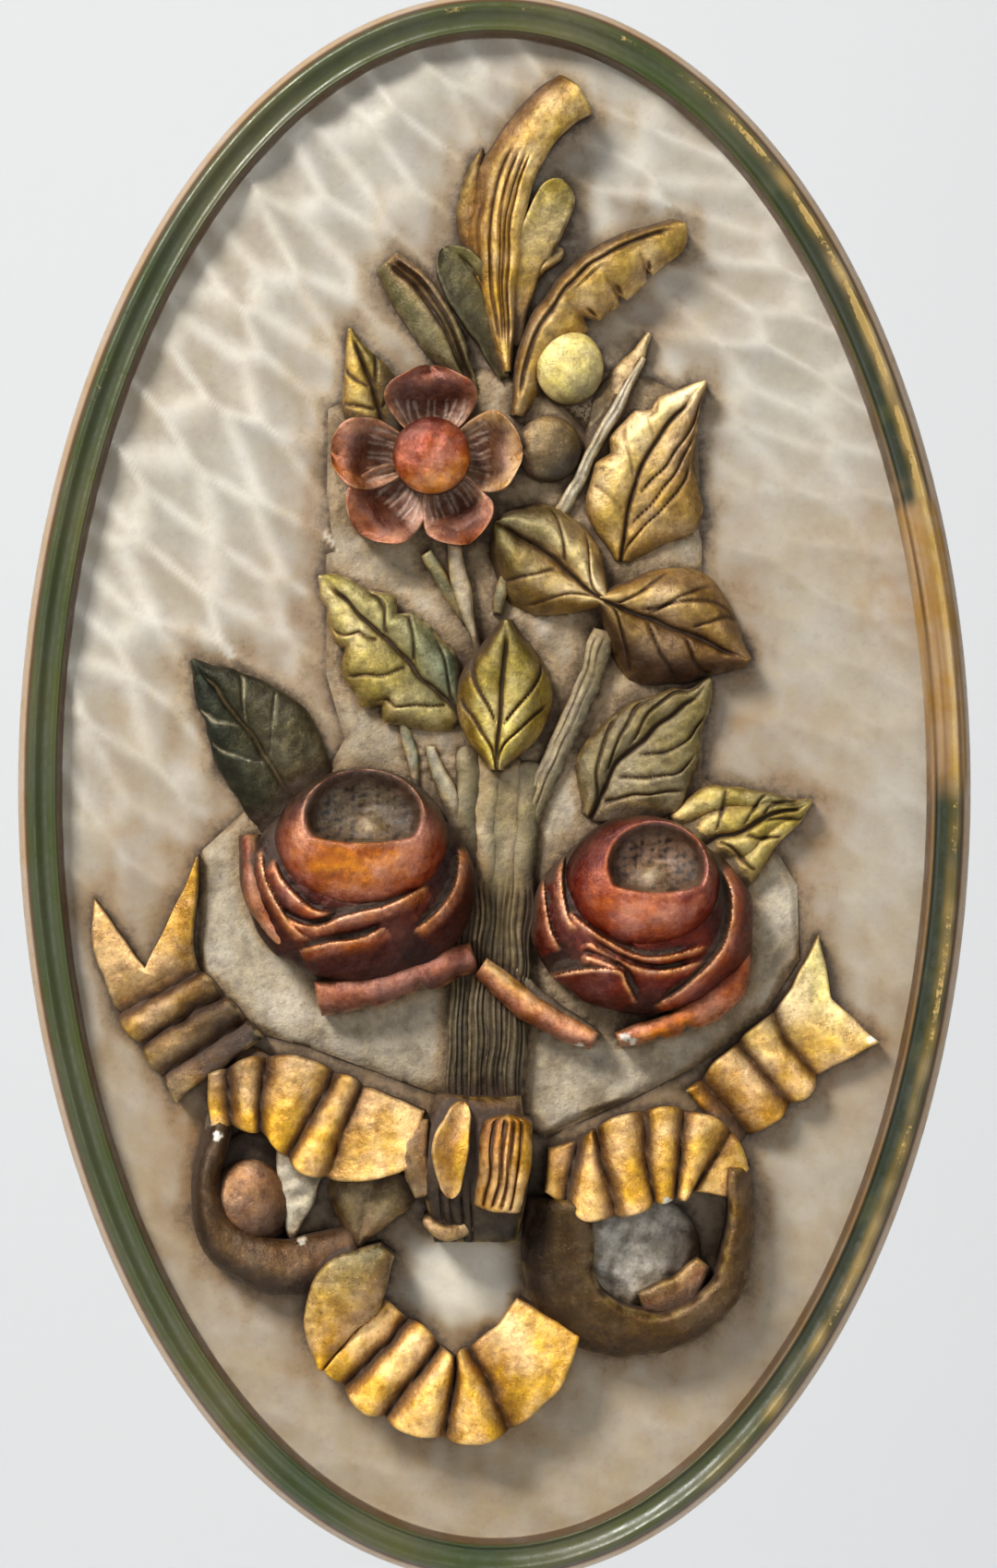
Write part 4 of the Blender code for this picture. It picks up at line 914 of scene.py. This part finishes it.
def petals(heart, centre, radii, top, edge, shells, hole, base):
    """The petals round a rose's heart as one relief on a dome. Each shell is a petal's rim, how far it stands
    up, how far outwards it fades, and its paint. The hole is the place and the half width and height of the
    seat that the heart fills, and the base is the paint of the dome between the petals."""
    count = int(max(radii) * 2 / PETAL_STEP)
    data, reach, turn, down = round_block(count, 3)
    x = centre[0] + radii[0] * reach * np.cos(turn)
    z = centre[1] + radii[1] * reach * np.sin(turn)
    x, z = x + 0.5 * uneven(x, z, 14.0, 45), z + 0.5 * uneven(x, z, 14.0, 46)
    body = edge + (top - edge) * np.sqrt(np.clip(1 - reach**2, 0, 1))
    height = body.copy()
    # Painted shade: the dome between the petals darkens to dark red towards its edge
    colour = mix(base, SHADE_RED, ramp(0.3, 0.85, reach) + 0.2 * uneven(x, z, 9, 47))
    for rim, lift, fade, paint in shells:
        curve = through(rim, np.linspace(0, 1, RIM_STEPS))
        nearest = np.argmin((x[:, None] - curve[:, 0]) ** 2 + (z[:, None] - curve[:, 1]) ** 2, axis=1)
        far = np.hypot(x - curve[nearest, 0], z - curve[nearest, 1])
        beyond = np.hypot(x - heart[0], z - heart[1]) - np.hypot(
            curve[nearest, 0] - heart[0], curve[nearest, 1] - heart[1])
        away = np.where(beyond > 0, far, -far)
        t = nearest / (RIM_STEPS - 1)
        taper = ramp(0.0, 0.2, np.minimum(t, 1 - t))
        outwards = np.exp(-((np.maximum(away, 0) / fade) ** 1.6))
        stand = lift * taper * np.where(away > 0, outwards, 1 + away / 0.8)
        stand = stand - 0.5 * taper * np.exp(-((away / 0.5) ** 2))
        shown = body + stand > height
        tone = mix(paint, base, ramp(0.2, 0.9, away / fade))
        tone = mix(tone, ROSE_LIGHT, 0.85 * np.exp(-(((away - 0.45) / 0.6) ** 2)))
        strength = np.where(away > 0, outwards**0.5, ramp(-0.5, 0.0, away)) * ramp(0.0, 0.4, taper)
        colour = np.where(shown[:, None], mix(colour, tone, strength), colour)
        height = np.where(shown, body + stand, height)
        # Painted shade: a dark red line in the groove under each petal's lip
        groove_line = taper * np.exp(-(((away + 1.3) / 0.75) ** 2)) * (away < 0)
        height = height - 1.5 * groove_line
        colour = mix(colour, SHADE_RED, 0.9 * groove_line)
    sunk = ramp(1.0, 0.85, np.hypot((x - hole[0]) / hole[2], (z - hole[1]) / hole[3]))
    height = height + (HEART_SEAT - height) * sunk
    height = height + 0.25 * uneven(x, z, 5.0, 49)
    height = height * (1 - down) - SINK * down
    # Painted shade: the walls are painted dark red
    walled = (down > 0.01).astype(float)
    colour = mix(colour, SHADE_RED, 0.8 * walled)
    store(data, (x, height, z), colour, gilt=0.6 * (1 - walled), rub=0.0, clean=0.0,
          grime=walled * (0.3 + 0.4 * down))
    carved.append(data)


def outer_petal(spine, left, right, rise, tones, falls=(1.0, 3.5), notches=()):
    """A broad outer petal with a thick rounded edge that is rubbed to a light copper."""
    # Its sides are painted dark red as painted shade
    strip(spine, left, right, rise, tones, crown=0.8, falls=falls, undercut=0.15, rim=ROSE_LIGHT,
          wall=SHADE_RED, gilt=0.3, soft=1.8, rough=0.15, notches=notches, wave=0.4)


petals((-37.1, -15.2), (-37.6, -27.6), (32.5, 27.5), 24.0, 11.0, [
    ([(-65.4, -16.0), (-62.8, -27.0), (-56.6, -37.5), (-50.0, -43.0)], 3.0, 4.0, COPPER),
    ([(-61.8, -19.0), (-58.4, -26.0), (-50.6, -33.4), (-42.5, -35.0)], 3.2, 5.0, ROSE_COPPER),
    ([(-9.6, -15.6), (-10.6, -26.0), (-15.0, -33.6), (-23.2, -40.6)], 4.5, 4.5, seen(196, 122, 82)),
    ([(-54.5, -40.7), (-42.0, -35.6), (-29.6, -32.4), (-17.6, -26.4)], 3.5, 5.0, COPPER),
    ([(-55.5, -45.4), (-45.5, -42.8), (-37.0, -41.6), (-28.8, -37.6)], 3.5, 5.5, seen(176, 96, 56)),
    ([(-60.0, -35.0), (-52.0, -38.2), (-43.0, -37.4)], 2.5, 4.0, ROSE_COPPER),
], (-37.1, -15.2, 20.0, 17.0), seen(88, 34, 20))
globe((-37.1, -15.6), (24.4, 21.2), (-36.2, -7.6), (16.8, 11.2), 17.0, 23.0, 32.3, 6.5,
      (seen(112, 102, 86), seen(60, 40, 28), seen(146, 62, 34), seen(236, 150, 78), seen(160, 104, 72)),
      (-34.0, -10.8))
outer_petal([(-68.6, -13.4), (-67.6, -27.0), (-61.4, -39.4), (-51.6, -49.8)], (3.0, 4.0, 3.8, 2.6),
            (3.3, 3.6, 3.6, 2.8), (13, 18, 18, 14), (BROWN_GOLD, CRIMSON, ROSE_COPPER, ROSE_LIGHT),
            falls=(0.5, 4.0))
outer_petal([(-49.8, -59.4), (-35.2, -56.8), (-19.6, -51.6), (-5.6, -47.5)], (5.2, 4.9, 5.2, 4.7),
            (5.2, 4.9, 5.2, 4.4), (13, 15, 15, 12),
            (seen(146, 88, 62), seen(128, 72, 52), seen(150, 84, 60), seen(104, 58, 42)),
            notches=[(1, 0.62, 0.35, 0.04), (1, 0.3, 0.15, 0.05)])
finish_carving("left_rose", copper_paint)

petals((41.2, -26.9), (41.7, -37.6), (31.4, 26.0), 24.0, 11.0, [
    ([(16.4, -11.4), (14.0, -25.1), (15.4, -38.1), (19.0, -46.0)], 3.0, 4.0, ROSE_COPPER),
    ([(20.4, -15.0), (18.9, -25.0), (20.4, -35.0), (24.0, -40.0)], 3.2, 4.0, COPPER),
    ([(62.6, -20.4), (66.0, -31.0), (63.4, -44.0), (53.6, -54.6), (43.1, -62.0)], 4.5, 5.0,
     seen(192, 106, 72)),
    ([(18.6, -32.6), (30.4, -41.6), (43.0, -46.8), (60.7, -43.4)], 3.2, 3.6, ROSE_COPPER),
    ([(23.0, -40.6), (34.5, -47.6), (46.0, -50.6), (60.0, -47.4)], 3.0, 4.0, ROSE_COPPER),
    ([(12.0, -53.4), (22.8, -50.6), (34.3, -50.4), (37.2, -54.8), (40.2, -60.8)], 4.0, 6.0, CRIMSON),
    ([(23.6, -46.0), (30.0, -48.0), (36.0, -50.6)], 2.4, 4.0, ROSE_COPPER),
], (41.2, -26.9, 18.4, 16.4), seen(116, 40, 24))
globe((41.2, -27.6), (22.0, 20.0), (45.0, -21.5), (14.0, 10.7), 17.0, 23.0, 32.3, 6.5,
      (seen(140, 114, 98), seen(96, 42, 32), seen(122, 42, 26), seen(196, 104, 56), seen(180, 104, 70)),
      (43.5, -24.0))
outer_petal([(-3.4, -49.6), (10.3, -61.2), (28.2, -71.2)], (2.6, 3.4, 2.6), (3.8, 4.6, 3.4), (13, 15.5, 13),
            (OLD_GOLD, COPPER, seen(190, 116, 54), COPPER), falls=(0.4, 4.0))
strip([(4.6, -50.6), (14.6, -60.4), (28.8, -69.6)], (1.6, 1.8, 1.4), (1.3, 1.3, 1.0), (6, 8, 8),
      (GREY_GREEN, GESSO, GESSO, GREY_GREEN), rim=GESSO, gilt=0.1, wall=GREY_GREEN)
outer_petal([(34.5, -70.4), (51.9, -65.2), (65.7, -56.3), (70.8, -44.5)], (2.1, 3.6, 4.2, 2.1),
            (2.8, 4.2, 4.7, 2.1), (13, 16, 16, 12), (COPPER, seen(196, 122, 58), CRIMSON, ROSE_COPPER),
            falls=(0.4, 4.0), notches=[(1, 0.36, 0.4, 0.04), (1, 0.2, 0.25, 0.03)])
finish_carving("right_rose", copper_paint)


# The ribbon bow. It ties the stems: a knot, two pleated bands, two hollow loops with curled ends, a fan
# below and two swallow-tailed ends, all gilded, with brown in the creases that is partly patina and
# partly painted shade.
LEAF_GOLD = seen(214, 166, 84)
WORN_GOLD = seen(178, 130, 62)
CREASE = seen(66, 42, 20)

# The left tail. Its base is painted dark umber as painted shade, where it runs in under the left loop
strip([(-77.4, -79.2), (-88.0, -64.6), (-94.8, -53.7), (-98.4, -40.7), (-98.7, -24.1)],
      (15.6, 15.1, 16.1, 15.1, 14.6), (15.6, 13.5, 12.5, 14.6, 15.1), (8, 9, 8, 7.5, 6.5),
      (BROWN_GOLD, UMBER, seen(196, 150, 76), seen(188, 142, 74)), pleats=(0.1, 0.24, 0.42), pleat_depth=3.6,
      prongs=(-7.3, -27.0, 5.2), ink=CREASE)
strip([(60.5, -92.2), (74.0, -79.7), (84.6, -69.8), (95.5, -59.7)], (9.4, 9.9, 9.9, 16.1),
      (12.0, 15.1, 14.6, 17.7), (7, 9, 8, 6.5), (WORN_GOLD, WORN_GOLD, BRIGHT_GOLD, seen(226, 182, 104)),
      pleats=(0.08, 0.35, 0.6), pleat_depth=3.2, prongs=(9.4, 0.0, 1.3), ink=CREASE)
strip([(-73.7, -77.1), (-56.0, -84.9)], (5.7, 5.7), (5.7, 5.7), (5, 8), (OCHRE, BROWN_GOLD, WORN_GOLD, OCHRE))
# The roll of the left loop is painted dark brown on the gilded ribbon, as painted shade on its underside
strip([(-76.5, -92.3), (-81.1, -113.5), (-75.8, -128.6), (-60.3, -135.4), (-38.0, -132.0)],
      (3.1, 4.1, 7.2, 8.4, 8.8), (4.6, 4.4, 6.2, 7.6, 7.2), (13, 15, 15, 14, 12),
      (seen(84, 62, 36), seen(64, 46, 28), seen(104, 76, 46), seen(66, 48, 30)), crown=1.0,
      falls=(2.5, 6.0), soft=2.5, rim=seen(120, 90, 56))
# Painted shade: a low dark boss fills the hollow inside the left loop
dome((-66.0, -112.0), (14.0, 16.0), 4.5, 2.5, (seen(54, 40, 28), seen(76, 58, 40), seen(40, 30, 20)),
     gilt=0.1)
# The curled end is painted light on its upper left and dark away from it, as painted light and shade
dome((-69.0, -117.2), (11.4, 12.4), 13.5, 6.0, (seen(134, 98, 70), seen(182, 140, 106), seen(70, 50, 36)),
     lean=120)
strip([(-30.9, -105.2), (-35.8, -116.7), (-38.8, -129.1)], (13.5, 10.4, 1.3), (13.5, 10.8, 1.3), (13, 14, 10),
      (seen(96, 84, 56), seen(110, 96, 62), seen(164, 136, 92), seen(96, 76, 46)), ribs=2, rib_depth=2.5,
      falls=(2.0, 2.0), rim=LEAF_GOLD)
strip([(68.8, -106.2), (68.8, -126.5), (63.1, -143.2), (47.5, -152.5), (29.8, -150.4), (18.3, -138.0),
       (17.8, -115.1)], (3.6, 4.2, 5.2, 6.2, 8.8, 9.9, 8.8), (3.6, 4.2, 5.2, 5.7, 8.3, 10.4, 9.9),
      (14, 15, 15, 15, 15, 14, 15),
      (seen(112, 82, 44), seen(92, 66, 34), seen(54, 40, 22), seen(66, 48, 24)), tilt=-4.0, crown=2.5,
      soft=2.5, gilt=0.65)
# The gesso floor of the right loop is painted pale on its left and dark brown on its right, as painted light
# and shade
dome((41.0, -131.0), (17.5, 16.0), 8.5, 2.5, (seen(168, 160, 146), seen(214, 208, 196), seen(74, 56, 36)),
     lean=160, gilt=0.0, rough=0.7, clean=0.85)
strip([(58.9, -133.3), (51.9, -142.1), (41.2, -145.2)], (2.1, 4.2, 2.1), (2.1, 5.2, 3.6), (11, 13, 11),
      (seen(150, 108, 76), OCHRE, seen(140, 96, 62), BROWN_GOLD))
strip([(-19.4, -92.7), (-20.2, -103.1), (-17.6, -113.5)], (1.3, 1.6, 1.3), (4.7, 5.2, 4.7), (18, 20, 18),
      (OCHRE, BROWN_GOLD, OCHRE, BROWN_GOLD))
strip([(-52.7, -101.1), (-55.9, -112.0), (-56.8, -127.2)], (9.2, 6.0, 1.2), (10.2, 5.2, 1.2), (9, 9, 7),
      (GREY_GREEN, GESSO, GESSO, seen(196, 188, 170)), gilt=0.05, rim=GESSO, rough=0.6, wave=1.2,
      ends=(0, 1.2))
strip([(-80.0, -87.5), (-61.2, -86.0), (-41.5, -93.8), (-21.2, -98.4)], (7.3, 12.0, 13.0, 8.3),
      (7.3, 12.5, 17.2, 7.8), (13, 19, 21, 19), (OCHRE, LEAF_GOLD, LEAF_GOLD, LEAF_GOLD),
      pleats=(0.1, 0.27, 0.52, 0.67), pleat_depth=4.2, tilt=-1.0, undercut=0.1, ink=CREASE)
strip([(14.7, -106.2), (28.2, -107.3), (43.3, -103.1), (57.9, -103.6), (68.8, -110.9)],
      (5.2, 12.0, 14.0, 12.5, 5.2), (6.8, 14.0, 13.0, 11.4, 4.7), (15, 20, 22, 20, 14),
      (WORN_GOLD, LEAF_GOLD, seen(238, 190, 108), LEAF_GOLD), pleats=(0.13, 0.3, 0.49, 0.64, 0.8),
      pleat_depth=4.2, tilt=-1.0, undercut=0.1, ink=CREASE)
strip([(-39.6, -152.8), (-28.2, -162.4), (-15.0, -170.2), (-3.5, -169.2), (7.9, -160.8), (15.2, -148.4)],
      (13.0, 14.6, 12.0, 13.5, 13.0, 10.4), (13.0, 15.1, 12.5, 14.0, 13.0, 10.4), (13, 16, 17, 17, 16, 13),
      (seen(236, 182, 96), LEAF_GOLD, seen(236, 182, 96), LEAF_GOLD), pleats=(0.12, 0.28, 0.45, 0.64),
      pleat_depth=5.5, tilt=-1.0, undercut=0.1, ink=CREASE)
strip([(-49.3, -162.7), (-45.6, -149.9), (-39.4, -139.5), (-30.0, -129.4)], (0.8, 8.3, 9.9, 2.6),
      (1.3, 6.8, 9.4, 2.6), (13, 15, 16, 14), (LEAF_GOLD, WORN_GOLD, GREY_OLIVE, BROWN_GOLD), crown=1.5)
# Painted shade: the ribbed part of the knot darkens almost to black at its lower end
strip([(-5.1, -86.5), (-5.6, -106.2), (-5.6, -127.0)], (12.5, 15.6, 12.0), (11.4, 15.1, 11.4), (14, 19, 15),
      (seen(104, 78, 46), seen(88, 64, 38), seen(50, 40, 26), seen(40, 32, 20)), crown=2.5, soft=2.5,
      cuts=[flutes((0.05, 0.25, 0.45, 0.65), 0.8, 0.4, 0.5, 1.1, wander=0.01)])
strip([(-8.6, -87.5), (-12.1, -100.5), (-12.2, -113.9)], (2.3, 5.2, 2.3), (2.6, 5.4, 2.3), (21, 26, 24),
      (LEAF_GOLD, WORN_GOLD, LEAF_GOLD, WORN_GOLD), crown=-1.5, rim=BRIGHT_GOLD, ends=(3.5, 3.5),
      hollow=seen(142, 98, 54))
strip([(3.6, -91.2), (2.6, -104.4), (0.4, -117.4)], (7.2, 7.6, 6.6), (6.4, 7.0, 6.0), (22, 26, 24),
      (WORN_GOLD, seen(150, 104, 64), LEAF_GOLD, WORN_GOLD), crown=2.0, soft=2.0, ends=(2.0, 1.0),
      rim=BRIGHT_GOLD, cuts=[flutes((-0.55, -0.2, 0.12, 0.52), 1.4, 0.45, wander=0.015)])
strip([(-20.2, -120.3), (-13.4, -124.4), (-5.1, -122.4)], (1.8, 2.2, 1.6), (1.6, 1.8, 1.3), (17, 20, 17),
      (seen(120, 92, 58), seen(168, 136, 96), seen(168, 136, 96), BROWN_GOLD), ends=(2.0, 2.0))
gilded_ribbon = aged("gilded_ribbon", speckle=0.7, rub_tone=BRIGHT_GOLD, roughness=0.34, fleck_scale=700.0,
                     mottle=0.32, relief_depth=0.0008)
finish_carving("ribbon_bow", gilded_ribbon)


# Chips. Where the paint has been knocked off high edges the white gesso shows. Each chip is a place and
# a half width.
WHITE_GESSO = seen(226, 220, 206)
CHIPS = [
    (-81.0, -94.0, 2.2), (-77.4, -97.4, 1.6), (-54.2, -126.8, 1.6), (48.0, -114.8, 1.5), (106.5, -70.6, 1.9),
    (106.8, -75.2, 1.7), (23.9, -72.4, 1.4), (36.6, -69.8, 1.7), (38.8, -71.0, 1.4),
]


def kept(data, name):
    """A number that is stored for each point of a mesh."""
    values = np.empty(len(data.vertices))
    data.attributes[name].data.foreach_get("value", values)
    return values


for piece in carving_pieces:
    places = coordinates(piece.data) / MM
    shown = piece.data.attributes["paint"]
    paint = np.empty(len(places) * 4)
    shown.data.foreach_get("color", paint)
    paint = paint.reshape(-1, 4)
    gilt = kept(piece.data, "gilt")
    for chip_x, chip_z, size in CHIPS:
        ragged = size * (0.8 + 0.35 * uneven(places[:, 0], places[:, 2], 1.6, 71))
        chipped = ramp(1.05, 0.8, np.hypot(places[:, 0] - chip_x, places[:, 2] - chip_z) / ragged)
        paint[:, :3] = mix(paint[:, :3], WHITE_GESSO, chipped)
        gilt = gilt * (1 - chipped)
    shown.data.foreach_set("color", paint.ravel())
    piece.data.attributes["gilt"].data.foreach_set("value", gilt)


# Old dirt and painted shade. Dirt has collected wherever a cloth doesn't reach, and shade is painted where
# it falls: on the ground close to the carving, in the hollows and under the leaves. Each point counts how
# much of the space before it is closed by wood.
DARKENING_REACH = 12 * MM
GROUND_REACH = 30 * MM
LIFT = 0.4 * MM


def closed_in(piece, tree, rays):
    """Adds to a piece's darkening, partly dirt and partly painted shade, the share of nearby space that
    the carving closes off.
    """
    chance = np.random.default_rng(17)
    spread = chance.normal(size=(rays, 3))
    spread /= np.linalg.norm(spread, axis=1)[:, None]
    spread[:, 1] = -np.abs(spread[:, 1])
    directions = [Vector(way) for way in spread]
    start = Vector((0, -LIFT, 0))
    hits = np.empty(len(piece.data.vertices))
    for index, vertex in enumerate(piece.data.vertices):
        origin = vertex.co + vertex.normal * LIFT + start
        closed = 0.0
        for way in directions:
            distance = tree.ray_cast(origin, way, DARKENING_REACH)[3]
            if distance is not None:
                closed += 1 - distance / DARKENING_REACH
        hits[index] = closed / rays
    dirt_and_shade_gathered = (1.7 * hits + 2.4 * np.maximum(hits - 0.18, 0)) * (1 - kept(piece.data, "clean"))
    grime = np.clip(kept(piece.data, "grime") + dirt_and_shade_gathered, 0, 1)
    piece.data.attributes["grime"].data.foreach_set("value", grime)


def soiled_and_shaded(data, tree, spared):
    """Darkens the ground where it comes close to the carving, less where it is spared: painted shade at the
    carving's foot and a patchy halo of dirt round it.
    """
    places = coordinates(data)
    ground_level = places[:, 1] > -(GROUND + 1.6) * MM
    away = np.full(len(places), 99.0)
    for index in np.flatnonzero(ground_level):
        distance = tree.find_nearest(Vector(places[index]), GROUND_REACH)[3]
        if distance is not None:
            away[index] = distance / MM
    x, z = places[:, 0] / MM, places[:, 2] / MM
    patchy = 1 + 0.45 * uneven(x, z, 12, 61)
    # Painted shade right at the carving's foot, and a wider patchy halo of dirt round it
    close = 0.7 * np.exp(-away / 1.8) + 0.36 * patchy * np.exp(-away / (8.0 * patchy))
    grime = np.clip(kept(data, "grime") + close * (1 - 0.9 * spared), 0, 1)
    data.attributes["grime"].data.foreach_set("value", grime)


meshes = [piece.data for piece in carving_pieces]
points = np.vstack([coordinates(data) for data in meshes])
faces = []
count = 0
for data in meshes:
    for face in data.polygons:
        if len(face.vertices) < 5:
            faces.append([count + corner for corner in face.vertices])
    count += len(data.vertices)
tree = BVHTree.FromPolygons(points.tolist(), faces)
soiled_and_shaded(board_data, tree, clean_patch)
for piece in carving_pieces:
    closed_in(piece, tree, 10)


# The studio: a plain pale floor that rises behind the panel, a soft key light from the upper left, a weak
# fill from the right, a lamp on the wall behind, and the camera straight in front of the panel.
PHOTO_WIDTH, PHOTO_HEIGHT = 1080, 1698
PIXEL = 0.26 * MM
OVAL_CENTRE_PIXEL = (535.5, 853.4)
DISTANCE = 1.05
RIM_PLANE = 22 * MM
SENSOR = 36.0
FLOOR_DROP = 1.1
FLOOR_REACH = 3.0
WALL_RISE = 4.0
COVE_RADIUS = 0.5

floor_mesh = bmesh.new()
bmesh.ops.create_grid(floor_mesh, x_segments=1, y_segments=1, size=FLOOR_REACH)
back_edge = [edge for edge in floor_mesh.edges if all(v.co.y > 0.9 * FLOOR_REACH for v in edge.verts)]
extruded(floor_mesh, back_edge, (0, 0, WALL_RISE))
bmesh.ops.bevel(floor_mesh, geom=back_edge, offset=COVE_RADIUS, segments=16, affect="EDGES", profile=0.5,
                material=-1)
floor_data = as_mesh("floor", floor_mesh)
floor_data.shade_smooth()
floor = placed("floor", floor_data)
floor.location.z = board_low.z - FLOOR_DROP
pale = bpy.data.materials.new("pale_floor")
pale.use_nodes = True
pale_shader = pale.node_tree.nodes["Principled BSDF"]
pale_shader.inputs["Base Color"].default_value = (*seen(240, 242, 244), 1)
pale_shader.inputs["Roughness"].default_value = 0.9
floor_data.materials.append(pale)


def lamp(name, place, size, power, tint):
    """A large square area light that faces the middle of the panel."""
    light = bpy.data.lights.new(name, "AREA")
    light.size = size
    light.energy = power
    light.color = tint
    made = placed(name, light)
    made.location = place
    made.rotation_euler = (-Vector(place)).to_track_quat("-Z", "Y").to_euler()


lamp("key", (-1.7, -2.2, 2.3), 1.0, 176.0, (1.0, 0.98, 0.95))
lamp("fill", (0.9, -1.6, 0.2), 1.2, 7.0, (0.92, 0.96, 1.0))
lamp("wall", (0.0, 1.2, 1.6), 1.8, 4.0, (0.97, 0.99, 1.0))
bpy.data.objects["wall"].rotation_euler = Vector((0, 1.8, -1.2)).to_track_quat("-Z", "Y").to_euler()
world = bpy.data.worlds.new("studio")
bpy.context.scene.world = world
world.use_nodes = True
sky = world.node_tree.nodes["Background"]
sky.inputs["Color"].default_value = (0.94, 0.94, 0.93, 1)
sky.inputs["Strength"].default_value = 0.3
bpy.context.scene.view_settings.view_transform = "Standard"

camera_data = bpy.data.cameras.new("camera")
camera_data.sensor_fit = "VERTICAL"
camera_data.sensor_height = SENSOR
camera_data.lens = SENSOR * DISTANCE / (PHOTO_HEIGHT * PIXEL)
camera = placed("camera", camera_data)
aim_x = (PHOTO_WIDTH / 2 - OVAL_CENTRE_PIXEL[0]) * PIXEL
aim_z = (OVAL_CENTRE_PIXEL[1] - PHOTO_HEIGHT / 2) * PIXEL
camera.location = (aim_x, -(DISTANCE + RIM_PLANE), aim_z)
camera.rotation_euler = (math.pi / 2, 0, 0)
bpy.context.scene.camera = camera
